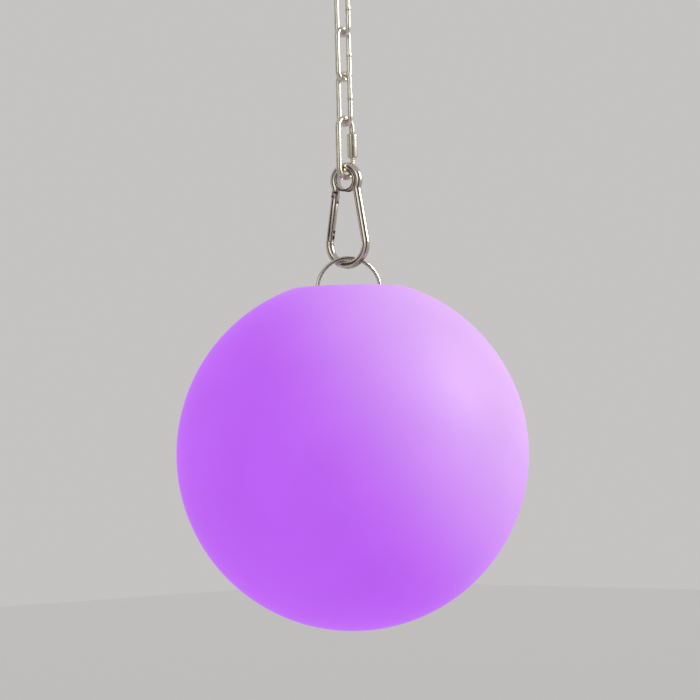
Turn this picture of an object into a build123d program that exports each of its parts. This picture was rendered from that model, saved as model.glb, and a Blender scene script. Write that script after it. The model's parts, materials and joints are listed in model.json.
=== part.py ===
"""Hanging garden globe light: a ceiling hook, a chain, a quick link, a snap hook and a lit globe.

Units are millimetres, +Z is up and the origin is the middle of the ceiling plate's upper face.
Chain links 1 and 3 lie in the XZ plane; chain link 2, the quick link and the ceiling hook lie in the
YZ plane. The snap hook and the globe with its bail are turned about Z from the XZ plane. Every hanging
piece is placed from the one above it.
"""

from build123d import *
import math
import os

os.makedirs("parts", exist_ok=True)

# ---------------------------------------------------------------- driving dimensions
HANG_GAP = 0.3              # play where one hanging wire bears on the next
SLIP = 0.1                  # play between pieces that slide or are laid together

PLATE_RADIUS = 25.0         # ceiling plate
PLATE_THICKNESS = 3.0
PLATE_SCREW_CIRCLE = 18.0   # radius of the screw circle
PLATE_SCREW_HOLE = 4.5      # hole for a 4 mm wood screw
PLATE_SINK_RADIUS = 4.06    # countersink at the plate's lower face
PLATE_SINK_DEPTH = 1.85
PLATE_SCREW_COUNT = 3
CEILING_WIRE = 4.0          # ceiling hook
CEILING_HOOK_RADIUS = 7.0
CEILING_HOOK_DEPTH = 18.0   # ceiling to the middle of the hook's round
CEILING_NECK_RADIUS = 3.0
CEILING_TIP_ANGLE = 150.0

CHAIN_WIRE = 3.0            # long-link chain
CHAIN_LENGTH = 32.0
CHAIN_WIDTH = 12.0
CHAIN_WELD_BULGE = 0.25
CHAIN_WELD_LENGTH = 2.8

QUICK_WIRE = 3.3            # quick link
QUICK_LENGTH = 37.3
QUICK_SPACING = 11.0        # between the middles of the two legs
QUICK_STUD = 2.8            # over the threads
QUICK_JAW_TOP = 6.6         # free end of the upper stud, above the link's middle
QUICK_JAW_BOTTOM = 1.0      # free end of the lower stud
SLEEVE_TOP = 8.6            # sleeve nut when closed, above the link's middle
SLEEVE_LENGTH = 14.0
SLEEVE_FLATS = 5.5

HOOK_WIRE = 4.8             # snap hook
HOOK_EYE_RADIUS = 7.9       # round of the narrow end, on the wire's middle
HOOK_NECK_REACH = 5.9       # a leg's middle line to the eye's middle
HOOK_NECK_BEND = 4.0        # bend from the eye's round to a leg
HOOK_BOWL_RADIUS = 11.8     # round of the wide end, on the wire's middle
HOOK_ROUND_SPACING = 36.35  # between the middles of the eye and the bowl
HOOK_TURN = 15.0            # its plane about Z, from XZ
THIMBLE_BORE = 10.0
THIMBLE_WIDTH = 5.4
THIMBLE_WALL = 0.35
THIMBLE_FLANGE = 13.0
THIMBLE_RIDE = 3.4          # quick link's wire, middle to the top of the thimble's bore

GATE_WIDTH = 4.6            # snap hook's gate, measured down from its hinge
GATE_DROP = 9.9             # along the leg's line, from its nearest point to the eye's middle
GATE_SLOT = 2.3
GATE_TONGUE = 2.0
GATE_UPPER_SLOT = 4.2
GATE_LOWER_SLOT = 6.4
GATE_BORE = 2.6
GATE_BORE_DEPTH = 7.0
HINGE_RIVET = 2.0
LATCH_PIN = 1.5
LATCH_FROM_END = 2.2        # latch pin's middle to the gate's end
GATE_END_PLAY = 0.3         # gate's end to the shoulder of the nose
HINGE_TONGUE_RADIUS = 2.1
HEEL_ANGLE = 12.0
HEEL_DISTANCE = 1.9
PLUNGER_WIDTH = 2.2
PLUNGER_LENGTH = 3.0        # straight part behind the round tip

GLOBE_RADIUS = 100.0        # globe
GLOBE_WALL = 2.0
FLAT_RADIUS = 32.4
RIM_ROUND = 1.2
BAIL_WIRE = 2.2             # bail
BAIL_RADIUS = 18.2
BAIL_ANGLE = 55.0           # turn of the bail, and of all that the globe holds, from +X
BAIL_CENTRE_DEPTH = 1.0     # bail's round below the rim
PIVOT_DEPTH = 3.0           # bail's pins below the rim
BAIL_BEND = 1.6
PIN_REACH = 22.6

LIP_RADIUS = 24.4           # mouth of the globe
LIP_OUTER = 31.5
LIP_DEPTH = 8.5
FLANGE_RADIUS = 30.0        # base plate
FLANGE_THICKNESS = 1.5
GASKET_THICKNESS = 0.8
POCKET_RADIUS = 22.4
POCKET_DEPTH = 5.0
POCKET_FLOOR = 1.6
POCKET_OUTER = 24.0
LUG_FACE = 20.0
LUG_WIDTH = 6.0
PIVOT_PLAY = 0.08
RIM_SCREW_CIRCLE = 27.1
RIM_SCREW = 2.5
RIM_SCREW_HEAD = 4.6
RIM_SCREW_LENGTH = 8.0
RIM_SCREW_ANGLES = (45, 135, 225, 315)

BOARD_DEPTH = 13.0          # control board's upper face below the rim
BOARD_THICKNESS = 1.6
BOARD_RADIUS = 20.0
STANDOFF_PLACES = ((15.0, 5.5), (-15.0, 5.5), (0.0, -16.0))
STANDOFF_RADIUS = 2.5
BOARD_SCREW = 2.0
BOARD_SCREW_HEAD = 3.8
SCREW_PLAY = 0.15           # between a screw and the hole that it passes through
CONTROL_OFFSET = 9.0        # button one way from the middle, charging port the other way
BUTTON_RADIUS = 4.5
BUTTON_RISE = 1.2           # cap above the pocket's floor
STEM_RADIUS = 1.75          # button's stem and the switch's plunger
SWITCH_SIZE = 6.0
SWITCH_HEIGHT = 3.5
PORT_WIDTH = 8.94
PORT_THICK = 3.26
PORT_WALL = 0.3
PORT_MOUTH_DEPTH = 5.8
PORT_TONGUE_WIDTH = 6.7
PORT_TONGUE_THICK = 0.7
BUNG_REACH = 3.0            # stopper inside the socket
BUNG_CAP = 1.3
LIGHT_PIPE_RADIUS = 1.0
LIGHT_PIPE_PLACE = (9.0, 0.0)

HOUSING_OUTER = 23.9        # housing behind the base plate
HOUSING_INNER = 22.2
HOUSING_FLOOR_DEPTH = 43.0
HOUSING_FLOOR = 1.6
HOUSING_END_DEPTH = 47.0
SPIGOT_DEPTH = 12.0
SPIGOT_INNER = 19.4
O_RING_DEPTH = 9.1          # its groove in the base plate's spigot
O_RING_GROOVE = 1.2
O_RING_RADIUS = 0.63        # half of the ring's own thickness
CELL_RADIUS = 9.1           # battery cell, lying along the bail's pins
CELL_LENGTH = 35.0
CELL_DEPTH = 29.5
CELL_LEAD_X = 18.2          # leads run up between the cell's end and the cradle's stop
CRADLE_STOP_X = 19.5
CRADLE_STOP = 1.2
CRADLE_FLOOR = 1.5
LED_BOARD_RADIUS = 19.0
LED_BOARD_THICKNESS = 1.6
LED_SIZE = 5.0
LED_HEIGHT = 1.5
LED_RING = 13.0
LED_COUNT = 8
LENS_WALL = 1.5
LENS_RISE = 12.0
LED_BOARD_SCREW_CIRCLE = 8.0
LED_BOARD_SCREW_ANGLES = (90, 210, 330)
LED_LEAD_PLACE = (15.5, -13.0)
LED_LEAD_HOLE = 1.7
CELL_SOCKET_PLACE = (11.0, 11.5)
LED_SOCKET_PLACE = (11.0, -13.0)
CORE_RADIUS = 0.65          # one insulated lead
JACKET_RADIUS = 0.95        # jacketed lead to the lamp board

# ---------------------------------------------------------------- heights that follow
ceiling_wire_z = -CEILING_HOOK_DEPTH - CEILING_HOOK_RADIUS
link_drop = CHAIN_LENGTH - CHAIN_WIRE
link_1_top = ceiling_wire_z + (CEILING_WIRE + CHAIN_WIRE) / 2 + HANG_GAP
link_2_top = link_1_top - link_drop + CHAIN_WIRE + HANG_GAP
link_3_top = link_2_top - link_drop + CHAIN_WIRE + HANG_GAP
quick_top = link_3_top - link_drop + (CHAIN_WIRE + QUICK_WIRE) / 2 + HANG_GAP
quick_middle = quick_top - (QUICK_LENGTH - QUICK_WIRE) / 2
quick_bottom = quick_middle - (QUICK_LENGTH - QUICK_WIRE) / 2
eye_z = quick_bottom + THIMBLE_RIDE - THIMBLE_BORE / 2
bowl_z = eye_z - HOOK_ROUND_SPACING
hook_bottom = bowl_z - HOOK_BOWL_RADIUS
bail_top = hook_bottom + (HOOK_WIRE + BAIL_WIRE) / 2 + HANG_GAP
rim_z = bail_top - BAIL_RADIUS + BAIL_CENTRE_DEPTH
globe_z = rim_z - math.sqrt(GLOBE_RADIUS**2 - FLAT_RADIUS**2)

hook_lean = math.degrees(math.asin((HOOK_BOWL_RADIUS - HOOK_NECK_REACH) / HOOK_ROUND_SPACING))
leg_x = math.cos(math.radians(hook_lean))
leg_z = math.sin(math.radians(hook_lean))
gate_x = -HOOK_NECK_REACH * leg_x - GATE_DROP * leg_z
gate_z = eye_z + HOOK_NECK_REACH * leg_z - GATE_DROP * leg_x
gate_reach = HOOK_ROUND_SPACING * leg_x - GATE_DROP
neck_drop = math.sqrt((HOOK_EYE_RADIUS + HOOK_NECK_BEND)**2 - (HOOK_NECK_REACH + HOOK_NECK_BEND)**2)
hook_place = Rot(0, 0, HOOK_TURN)
gate_place = Pos(gate_x, 0, gate_z) * Rot(0, hook_lean, 0)
rim_place = Pos(0, 0, rim_z) * Rot(0, 0, BAIL_ANGLE)

# below the rim, for the pieces that the globe holds
pocket_under = -POCKET_DEPTH - POCKET_FLOOR
board_under = -BOARD_DEPTH - BOARD_THICKNESS
switch_top = -BOARD_DEPTH + SWITCH_HEIGHT
lamp_face = -HOUSING_FLOOR_DEPTH - HOUSING_FLOOR - SLIP / 2 - LED_BOARD_THICKNESS
button_foot = pocket_under - 1.5


# ---------------------------------------------------------------- helpers
def save(shape, name, place=Location()):
    """Write one sub-part where it belongs."""
    export_step(place * shape, f"parts/{name}.step")


def wire_along(edges, diameter):
    """A round wire of the given diameter along joined, tangent edges."""
    path = Wire(edges)
    return sweep(Plane(path @ 0, z_dir=path % 0) * Circle(diameter / 2), path=path)


def turned(*outline):
    """A turned solid from its half outline, as (radius, height) points."""
    return revolve(make_face(Polyline(*[(r, 0, z) for r, z in outline], close=True)), Axis.Z)


def upright(radius, low, high, x=0.0, y=0.0):
    """An upright cylinder between two heights."""
    return Pos(x, y, (low + high) / 2) * Cylinder(radius, high - low)


def block(width, depth, low, high, x=0.0, y=0.0):
    """An upright block between two heights."""
    return Pos(x, y, (low + high) / 2) * Box(width, depth, high - low)


def oval_block(length, width, low, high, x=0.0, y=0.0):
    """An upright slab with round ends between two heights."""
    outline = Pos(x, y, low) * SlotOverall(length, width)
    return extrude(outline, amount=high - low)


def loop_edges(half_width, half_height):
    """The middle line of an oval loop in the XZ plane, from the middle of its left leg."""
    straight = half_height - half_width
    left, right = -half_width, half_width
    return [
        Line((left, 0, 0), (left, 0, straight)),
        ThreePointArc((left, 0, straight), (0, 0, half_height), (right, 0, straight)),
        Line((right, 0, straight), (right, 0, -straight)),
        ThreePointArc((right, 0, -straight), (0, 0, -half_height), (left, 0, -straight)),
        Line((left, 0, -straight), (left, 0, 0)),
    ]


def countersunk_screw(diameter, head, length):
    """A countersunk screw with a cross recess; its head is flush with z = 0, its point is down."""
    cone = (head - diameter) / 2
    edge, recess_width, recess_depth = 0.15, 0.5, 0.8
    screw = turned(
        (0, 0),
        (head / 2, 0),
        (head / 2, -edge),
        (diameter / 2, -edge - cone),
        (diameter / 2, -length + diameter / 2),
        (0, -length),
    )
    for turn in (0, 90):
        screw -= Rot(0, 0, turn) * block(head * 0.55, recess_width, -recess_depth, 1)
    return screw


def pan_screw(diameter, head, length):
    """A flat-headed screw with a cross recess; its head is above z = 0, its shank below."""
    rise = diameter * 0.6
    screw = upright(head / 2, 0, rise) + upright(diameter / 2, -length, 0)
    for turn in (0, 90):
        screw -= Rot(0, 0, turn) * block(head * 0.55, diameter * 0.2, rise / 2, rise + 1)
    return screw


def on_circle(radius, angle):
    """A place on a circle about the axis."""
    return radius * math.cos(math.radians(angle)), radius * math.sin(math.radians(angle))


# ---------------------------------------------------------------- ceiling fitting
def ceiling_plate():
    """A round plate with a bevelled lower edge and countersunk screw holes."""
    low, bevel = -PLATE_THICKNESS, 1.0
    plate = turned((0, 0), (PLATE_RADIUS, 0), (PLATE_RADIUS, low + bevel),
                   (PLATE_RADIUS - bevel, low), (0, low))
    sink = Cone(PLATE_SINK_RADIUS, PLATE_SCREW_HOLE / 2, PLATE_SINK_DEPTH)
    for index in range(PLATE_SCREW_COUNT):
        x, y = on_circle(PLATE_SCREW_CIRCLE, 360 * index / PLATE_SCREW_COUNT)
        plate -= upright(PLATE_SCREW_HOLE / 2, low - 1, 1, x, y)
        plate -= Pos(x, y, low + PLATE_SINK_DEPTH / 2) * sink
    return plate


def ceiling_hook():
    """An open hook in the YZ plane with a weld bead where its stem meets the plate."""
    middle = -CEILING_HOOK_DEPTH
    reach = CEILING_HOOK_RADIUS + CEILING_NECK_RADIUS
    neck_z = middle + math.sqrt(reach**2 - CEILING_NECK_RADIUS**2)
    join_angle = math.degrees(math.acos(CEILING_NECK_RADIUS / reach))
    neck_centre = (CEILING_NECK_RADIUS, neck_z)

    def neck(angle):
        dy, dz = on_circle(CEILING_NECK_RADIUS, angle)
        return 0, neck_centre[0] + dy, neck_centre[1] + dz

    def bowl(angle):
        dy, dz = on_circle(CEILING_HOOK_RADIUS, angle)
        return 0, dy, middle + dz

    edges = [
        Line((0, 0, -PLATE_THICKNESS), neck(180)),
        ThreePointArc(neck(180), neck(180 + join_angle / 2), neck(180 + join_angle)),
        ThreePointArc(bowl(join_angle), bowl(0), bowl(-90)),
        ThreePointArc(bowl(-90), bowl(-150), bowl(CEILING_TIP_ANGLE - 360)),
    ]
    tip = Pos(*bowl(CEILING_TIP_ANGLE)) * Sphere(CEILING_WIRE / 2)
    bead_width, bead_height = 1.6, 1.8
    bead = turned(
        (0, -PLATE_THICKNESS),
        (CEILING_WIRE / 2 + bead_width, -PLATE_THICKNESS),
        (CEILING_WIRE / 2, -PLATE_THICKNESS - bead_height),
        (0, -PLATE_THICKNESS - bead_height),
    )
    return wire_along(edges, CEILING_WIRE) + tip + bead


# ---------------------------------------------------------------- chain and quick link
def chain_link():
    """One link in the XZ plane about its own middle, with its weld on the right leg."""
    half_width = (CHAIN_WIDTH - CHAIN_WIRE) / 2
    link = wire_along(loop_edges(half_width, link_drop / 2), CHAIN_WIRE)
    swell, root = CHAIN_WIRE / 2 + CHAIN_WELD_BULGE, CHAIN_WIRE / 2 - 0.1
    end, crest = CHAIN_WELD_LENGTH / 2, 0.4
    bulge = turned((0, end), (root, end), (swell, crest), (swell, -crest), (root, -end), (0, -end))
    return link + Pos(half_width, 0, 0) * bulge


def quick_link_body():
    """The open loop in the YZ plane about its own middle, with a threaded stud at each free end."""
    half_width = QUICK_SPACING / 2
    loop = wire_along(loop_edges(half_width, (QUICK_LENGTH - QUICK_WIRE) / 2), QUICK_WIRE)
    straight = (QUICK_LENGTH - QUICK_WIRE) / 2 - half_width
    shoulder = SLEEVE_TOP + SLIP
    loop -= block(QUICK_WIRE + 1, QUICK_WIRE + 1, -straight, shoulder, x=half_width)
    upper = upright(QUICK_STUD / 2, QUICK_JAW_TOP, shoulder, x=half_width)
    lower = upright(QUICK_STUD / 2, -straight, QUICK_JAW_BOTTOM, x=half_width)
    return Rot(0, 0, 90) * (loop + upper + lower)


def quick_link_sleeve():
    """The hexagonal sleeve nut, which covers the jaw when it is screwed up."""
    bottom = SLEEVE_TOP - SLEEVE_LENGTH
    hexagon = RegularPolygon(SLEEVE_FLATS / 2, 6, major_radius=False)
    nut = Pos(0, 0, bottom) * extrude(hexagon, SLEEVE_LENGTH)
    corner, bevel = SLEEVE_FLATS / 2 + 0.35, 0.7
    nut &= turned((0, bottom), (corner - bevel, bottom), (corner, bottom + bevel),
                  (corner, SLEEVE_TOP - bevel), (corner - bevel, SLEEVE_TOP), (0, SLEEVE_TOP))
    nut -= upright(QUICK_STUD / 2 + SLIP, bottom - 1, SLEEVE_TOP + 1)
    return Pos(0, QUICK_SPACING / 2, 0) * nut


# ---------------------------------------------------------------- snap hook, before it is turned
def hook_point(side, out, along):
    """A point beside a leg: side is -1 for the gate's leg, out is from the eye's middle across the
    leg, and along is down the leg."""
    x = out * leg_x + along * leg_z
    return side * x, 0, eye_z + out * leg_z - along * leg_x


def hook_leg_point(side, along):
    """A point on a leg's middle line."""
    return hook_point(side, HOOK_NECK_REACH, along)


def hook_neck(side):
    """The neck's bend, as the point where it leaves the eye's round and its middle and end points."""
    whole = HOOK_EYE_RADIUS + HOOK_NECK_BEND
    out, share = HOOK_NECK_REACH + HOOK_NECK_BEND, HOOK_EYE_RADIUS / whole
    half = math.acos(out / whole) / 2
    middle = (out - HOOK_NECK_BEND * math.cos(half), neck_drop - HOOK_NECK_BEND * math.sin(half))
    return (hook_point(side, out * share, neck_drop * share), hook_point(side, *middle),
            hook_leg_point(side, neck_drop))


def latch_pin_z():
    """Height of the latch pin's middle below the hinge."""
    return GATE_END_PLAY + LATCH_FROM_END - gate_reach


def crossways(radius, length, z=0.0):
    """A cylinder along Y through the gate's middle line."""
    return Pos(0, 0, z) * Rot(90, 0, 0) * Cylinder(radius, length)


def hinge_tongue():
    """The flat tongue that the gate turns on, about the hinge; its heel is a flat for the plunger."""
    radius, heel_width, heel_depth = HINGE_TONGUE_RADIUS, 2.2, 2.5
    tongue = block(2 * radius, GATE_TONGUE, 0, GATE_WIDTH / 2 + 1.6)
    tongue += crossways(radius, GATE_TONGUE)
    tongue += block(heel_width, GATE_TONGUE, -heel_depth, SLIP, x=heel_width / 2)
    beyond = block(10, 10, -HEEL_DISTANCE - 10, -HEEL_DISTANCE)
    tongue -= Rot(0, HEEL_ANGLE, 0) * beyond
    return tongue - crossways(HINGE_RIVET / 2 + SLIP / 2, GATE_TONGUE + 1)


def nose_tongue():
    """The flat tongue at the hook's nose, about the hinge, with an open notch for the latch pin."""
    low, high = -gate_reach - 1.5, GATE_LOWER_SLOT - gate_reach - 1.4
    notch = LATCH_PIN / 2 + 0.35
    tongue = block(3.8, GATE_TONGUE, low, high)
    tongue -= block(3.0, GATE_TONGUE + 1, latch_pin_z() - notch, latch_pin_z() + notch, x=1.5)
    return tongue - crossways(notch, GATE_TONGUE + 1, latch_pin_z())


def snap_hook_body():
    """The bent wire with its thimble eye above, a hinge tongue and a nose with a pin notch."""
    leg = HOOK_ROUND_SPACING * leg_x
    shoulder_play = 0.7
    hinge_shoulder = GATE_DROP - GATE_WIDTH / 2 - shoulder_play
    gate_neck, long_neck = hook_neck(-1), hook_neck(1)
    edges = [
        Line(hook_leg_point(-1, hinge_shoulder), gate_neck[2]),
        ThreePointArc(*reversed(gate_neck)),
        ThreePointArc(gate_neck[0], (0, 0, eye_z + HOOK_EYE_RADIUS), long_neck[0]),
        ThreePointArc(*long_neck),
        Line(long_neck[2], hook_leg_point(1, leg)),
        ThreePointArc(hook_leg_point(1, leg), (0, 0, hook_bottom), hook_leg_point(-1, leg)),
    ]
    return wire_along(edges, HOOK_WIRE) + gate_place * (hinge_tongue() + nose_tongue())


def snap_hook_thimble():
    """The eyelet pressed into the hook's narrow end, its axis along Y."""
    bore, barrel, flange = THIMBLE_BORE / 2, THIMBLE_BORE / 2 + THIMBLE_WALL, THIMBLE_FLANGE / 2
    half, lead_in = THIMBLE_WIDTH / 2, 0.5
    inner = half - 0.6
    ring = turned((bore, half - lead_in), (bore + lead_in, half), (flange, half), (flange, inner),
                  (barrel, inner), (barrel, -inner), (flange, -inner), (flange, -half),
                  (bore + lead_in, -half), (bore, lead_in - half))
    return Pos(0, 0, eye_z) * Rot(90, 0, 0) * ring


def snap_hook_gate():
    """The gate about its hinge: forked at both ends, bored for its spring and plunger."""
    end = GATE_END_PLAY - gate_reach
    across = 2 * GATE_WIDTH
    gate = upright(GATE_WIDTH / 2, end, 0) + Sphere(GATE_WIDTH / 2)
    gate -= block(across, GATE_SLOT, -GATE_UPPER_SLOT, across)
    gate -= block(across, GATE_SLOT, end - 1, end + GATE_LOWER_SLOT)
    gate -= upright(GATE_BORE / 2, -GATE_UPPER_SLOT - GATE_BORE_DEPTH, 1 - GATE_UPPER_SLOT)
    gate -= crossways(HINGE_RIVET / 2 + SLIP / 2, across)
    return gate - crossways(LATCH_PIN / 2, across, latch_pin_z())


def gate_hinge_rivet():
    """The rivet through the gate's fork and the hinge tongue, with a low cone at each end."""
    shank, cone = HINGE_RIVET / 2, HINGE_RIVET / 2 + 0.6
    seat = GATE_WIDTH / 2 + SLIP
    end = seat + 0.4
    rivet = turned((0, end), (shank, end), (cone, seat), (shank, seat),
                   (shank, -seat), (cone, -seat), (shank, -end), (0, -end))
    return Rot(90, 0, 0) * rivet


def gate_latch_pin():
    """The cross pin in the gate's lower fork, just short of the gate's sides."""
    return crossways(LATCH_PIN / 2, GATE_WIDTH - 0.4, latch_pin_z())


def plunger_tip_centre():
    """How far below the hinge the plunger's round tip is centred when it rests on the heel."""
    return (HEEL_DISTANCE + PLUNGER_WIDTH / 2 + SLIP / 2) / math.cos(math.radians(HEEL_ANGLE))


def gate_plunger():
    """The round-nosed pin in the gate's bore that bears on the heel."""
    radius, middle = PLUNGER_WIDTH / 2, -plunger_tip_centre()
    return Pos(0, 0, middle) * Sphere(radius) + upright(radius, middle - PLUNGER_LENGTH, middle)


def gate_spring():
    """The coil spring behind the plunger, as the tube that it fills in the gate's bore."""
    high = -plunger_tip_centre() - PLUNGER_LENGTH - SLIP / 2
    low = -GATE_UPPER_SLOT - GATE_BORE_DEPTH + SLIP / 2
    outer, coil_wire = PLUNGER_WIDTH / 2, 0.35
    return upright(outer, low, high) - upright(outer - coil_wire, low - 1, high + 1)


# ---------------------------------------------------------------- bail and globe, from the rim's middle
def bail():
    """The arch of wire in the XZ plane, its pins turned outwards into the base plate's lugs."""
    low, bend, spring_line = -PIVOT_DEPTH, BAIL_BEND, -BAIL_CENTRE_DEPTH
    turn = bend * (1 - math.sqrt(0.5))
    reach, leg = PIN_REACH, BAIL_RADIUS
    edges = [
        Line((-reach, 0, low), (-leg - bend, 0, low)),
        ThreePointArc((-leg - bend, 0, low), (-leg - turn, 0, low + turn), (-leg, 0, low + bend)),
        Line((-leg, 0, low + bend), (-leg, 0, spring_line)),
        ThreePointArc((-leg, 0, spring_line), (0, 0, spring_line + leg), (leg, 0, spring_line)),
        Line((leg, 0, spring_line), (leg, 0, low + bend)),
        ThreePointArc((leg, 0, low + bend), (leg + turn, 0, low + turn), (leg + bend, 0, low)),
        Line((leg + bend, 0, low), (reach, 0, low)),
    ]
    return wire_along(edges, BAIL_WIRE)


def globe_shell():
    """The moulded globe: a flat with a stepped mouth and a thick lip that takes the screws."""
    centre = globe_z - rim_z
    flat_wall, seat_play, screw_play = 2.5, 0.25, 0.2
    outside = Pos(0, 0, centre) * Sphere(GLOBE_RADIUS) - upright(GLOBE_RADIUS, 0, GLOBE_RADIUS)
    outside = fillet(outside.edges().filter_by(GeomType.CIRCLE), RIM_ROUND)
    inside = Pos(0, 0, centre) * Sphere(GLOBE_RADIUS - GLOBE_WALL)
    inside -= upright(GLOBE_RADIUS, -flat_wall, GLOBE_RADIUS)
    shell = outside - inside + upright(LIP_OUTER, -LIP_DEPTH, -1)
    shell -= upright(LIP_RADIUS, -LIP_DEPTH - 1, 1)
    shell -= upright(FLANGE_RADIUS + seat_play, -FLANGE_THICKNESS - GASKET_THICKNESS, 1)
    for angle in RIM_SCREW_ANGLES:
        x, y = on_circle(RIM_SCREW_CIRCLE, angle)
        shell -= upright(RIM_SCREW / 2 + SLIP / 2, -RIM_SCREW_LENGTH - screw_play, 0, x, y)
    return shell


def base_gasket():
    """The flat ring between the base plate's flange and the globe, holed for the screws."""
    low, inset = -FLANGE_THICKNESS - GASKET_THICKNESS, 0.2
    gasket = upright(FLANGE_RADIUS - inset, low, -FLANGE_THICKNESS)
    gasket -= upright(POCKET_OUTER + 0.5, low - 1, 0)
    for angle in RIM_SCREW_ANGLES:
        gasket -= upright(RIM_SCREW / 2 + inset, low - 1, 0, *on_circle(RIM_SCREW_CIRCLE, angle))
    return gasket


def rim_screws():
    screw = countersunk_screw(RIM_SCREW, RIM_SCREW_HEAD, RIM_SCREW_LENGTH)
    return [Pos(*on_circle(RIM_SCREW_CIRCLE, angle), 0) * screw for angle in RIM_SCREW_ANGLES]


def bail_lug(side):
    """The block in the pocket that takes one of the bail's pins, sunk into the pocket's wall."""
    outer = POCKET_RADIUS + 0.6
    low, high = -POCKET_DEPTH - 0.1, -0.5
    return block(outer - LUG_FACE, LUG_WIDTH, low, high, x=side * (outer + LUG_FACE) / 2)


def bail_pin_hole(side):
    """The blind hole in a lug, a little longer than the pin's reach."""
    length, end_play = 6.0, 0.2
    hole = Cylinder(BAIL_WIRE / 2 + PIVOT_PLAY, length)
    return Pos(side * (PIN_REACH + end_play - length / 2), 0, -PIVOT_DEPTH) * Rot(0, 90, 0) * hole


def rim_screw_seat():
    """What the flange loses for one countersunk screw."""
    cone, edge = RIM_SCREW_HEAD / 2 + SLIP, 0.15
    depth = cone - RIM_SCREW / 2
    seat = upright(RIM_SCREW / 2 + SCREW_PLAY, -FLANGE_THICKNESS - 1, 1) + upright(cone, -edge, 1)
    return seat + Pos(0, 0, -edge - depth / 2) * Cone(RIM_SCREW / 2, cone, depth)


def base_plate():
    """The cover in the globe's mouth: a flange, a pocket that the bail folds into, and its lugs."""
    spigot = HOUSING_INNER - SLIP
    groove, groove_half = spigot - O_RING_GROOVE, 0.8
    groove_high, groove_low = groove_half - O_RING_DEPTH, -groove_half - O_RING_DEPTH
    mouth_bevel, edge_bevel = 0.6, 0.3
    plate = turned(
        (0, -POCKET_DEPTH), (POCKET_RADIUS, -POCKET_DEPTH), (POCKET_RADIUS, -mouth_bevel),
        (POCKET_RADIUS + mouth_bevel, 0), (FLANGE_RADIUS - edge_bevel, 0), (FLANGE_RADIUS, -edge_bevel),
        (FLANGE_RADIUS, -FLANGE_THICKNESS), (POCKET_OUTER, -FLANGE_THICKNESS), (POCKET_OUTER, pocket_under),
        (spigot, pocket_under), (spigot, groove_high), (groove, groove_high), (groove, groove_low),
        (spigot, groove_low), (spigot, -SPIGOT_DEPTH), (SPIGOT_INNER, -SPIGOT_DEPTH),
        (SPIGOT_INNER, pocket_under), (0, pocket_under),
    )
    for side in (-1, 1):
        plate += bail_lug(side)
        plate -= bail_pin_hole(side)
    for x, y in STANDOFF_PLACES:
        plate += upright(STANDOFF_RADIUS, -BOARD_DEPTH, pocket_under, x, y)
        plate -= upright(BOARD_SCREW / 2 + SLIP / 2, -BOARD_DEPTH - 1, pocket_under - 1, x, y)
    for angle in RIM_SCREW_ANGLES:
        plate -= Pos(*on_circle(RIM_SCREW_CIRCLE, angle), 0) * rim_screw_seat()
    plate -= upright(BUTTON_RADIUS + 0.2, pocket_under - 1, 0, y=CONTROL_OFFSET)
    plate -= oval_block(PORT_WIDTH + 0.6, PORT_THICK + 0.6, pocket_under - 1, 0, y=-CONTROL_OFFSET)
    return plate - upright(LIGHT_PIPE_RADIUS + SLIP / 2, pocket_under - 1, 0, *LIGHT_PIPE_PLACE)


def power_button():
    """The silicone button: a crowned cap above the pocket's floor, a wider skirt below it."""
    crown, skirt_reach, skirt_thickness = 0.8, 1.6, 0.8
    skirt_high = pocket_under - SLIP
    skirt_low = skirt_high - skirt_thickness
    cap = upright(BUTTON_RADIUS, skirt_high, -POCKET_DEPTH + BUTTON_RISE)
    cap = fillet(cap.edges().group_by(Axis.Z)[-1], crown)
    skirt = upright(BUTTON_RADIUS + skirt_reach, skirt_low, skirt_high)
    stem = upright(STEM_RADIUS, button_foot, skirt_low)
    return Pos(0, CONTROL_OFFSET, 0) * (cap + skirt + stem)


def switch_body():
    """The push switch's case on the board, with the well that its plunger sinks into."""
    well_depth = 1.5
    body = block(SWITCH_SIZE, SWITCH_SIZE, -BOARD_DEPTH, switch_top)
    body = fillet(body.edges().filter_by(Axis.Z), 0.5)
    body -= upright(STEM_RADIUS + SLIP, switch_top - well_depth, switch_top + 1)
    return Pos(0, CONTROL_OFFSET, 0) * body


def switch_plunger():
    """The pin of the push switch, between its well and the button's stem."""
    sunk = 0.9
    return Pos(0, CONTROL_OFFSET, 0) * upright(STEM_RADIUS, switch_top - sunk, button_foot - SLIP)


def charge_port():
    """The socket's drawn steel jacket with its contact tongue, upright on the board."""
    low, high, closed_end = -BOARD_DEPTH, -PORT_MOUTH_DEPTH, 1.0
    jacket = oval_block(PORT_WIDTH, PORT_THICK, low, high)
    jacket -= oval_block(PORT_WIDTH - 2 * PORT_WALL, PORT_THICK - 2 * PORT_WALL, low + closed_end, high + 1)
    tongue = block(PORT_TONGUE_WIDTH, PORT_TONGUE_THICK, low + closed_end - SLIP, high - 1.2)
    return Pos(0, -CONTROL_OFFSET, 0) * (jacket + tongue)


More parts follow.
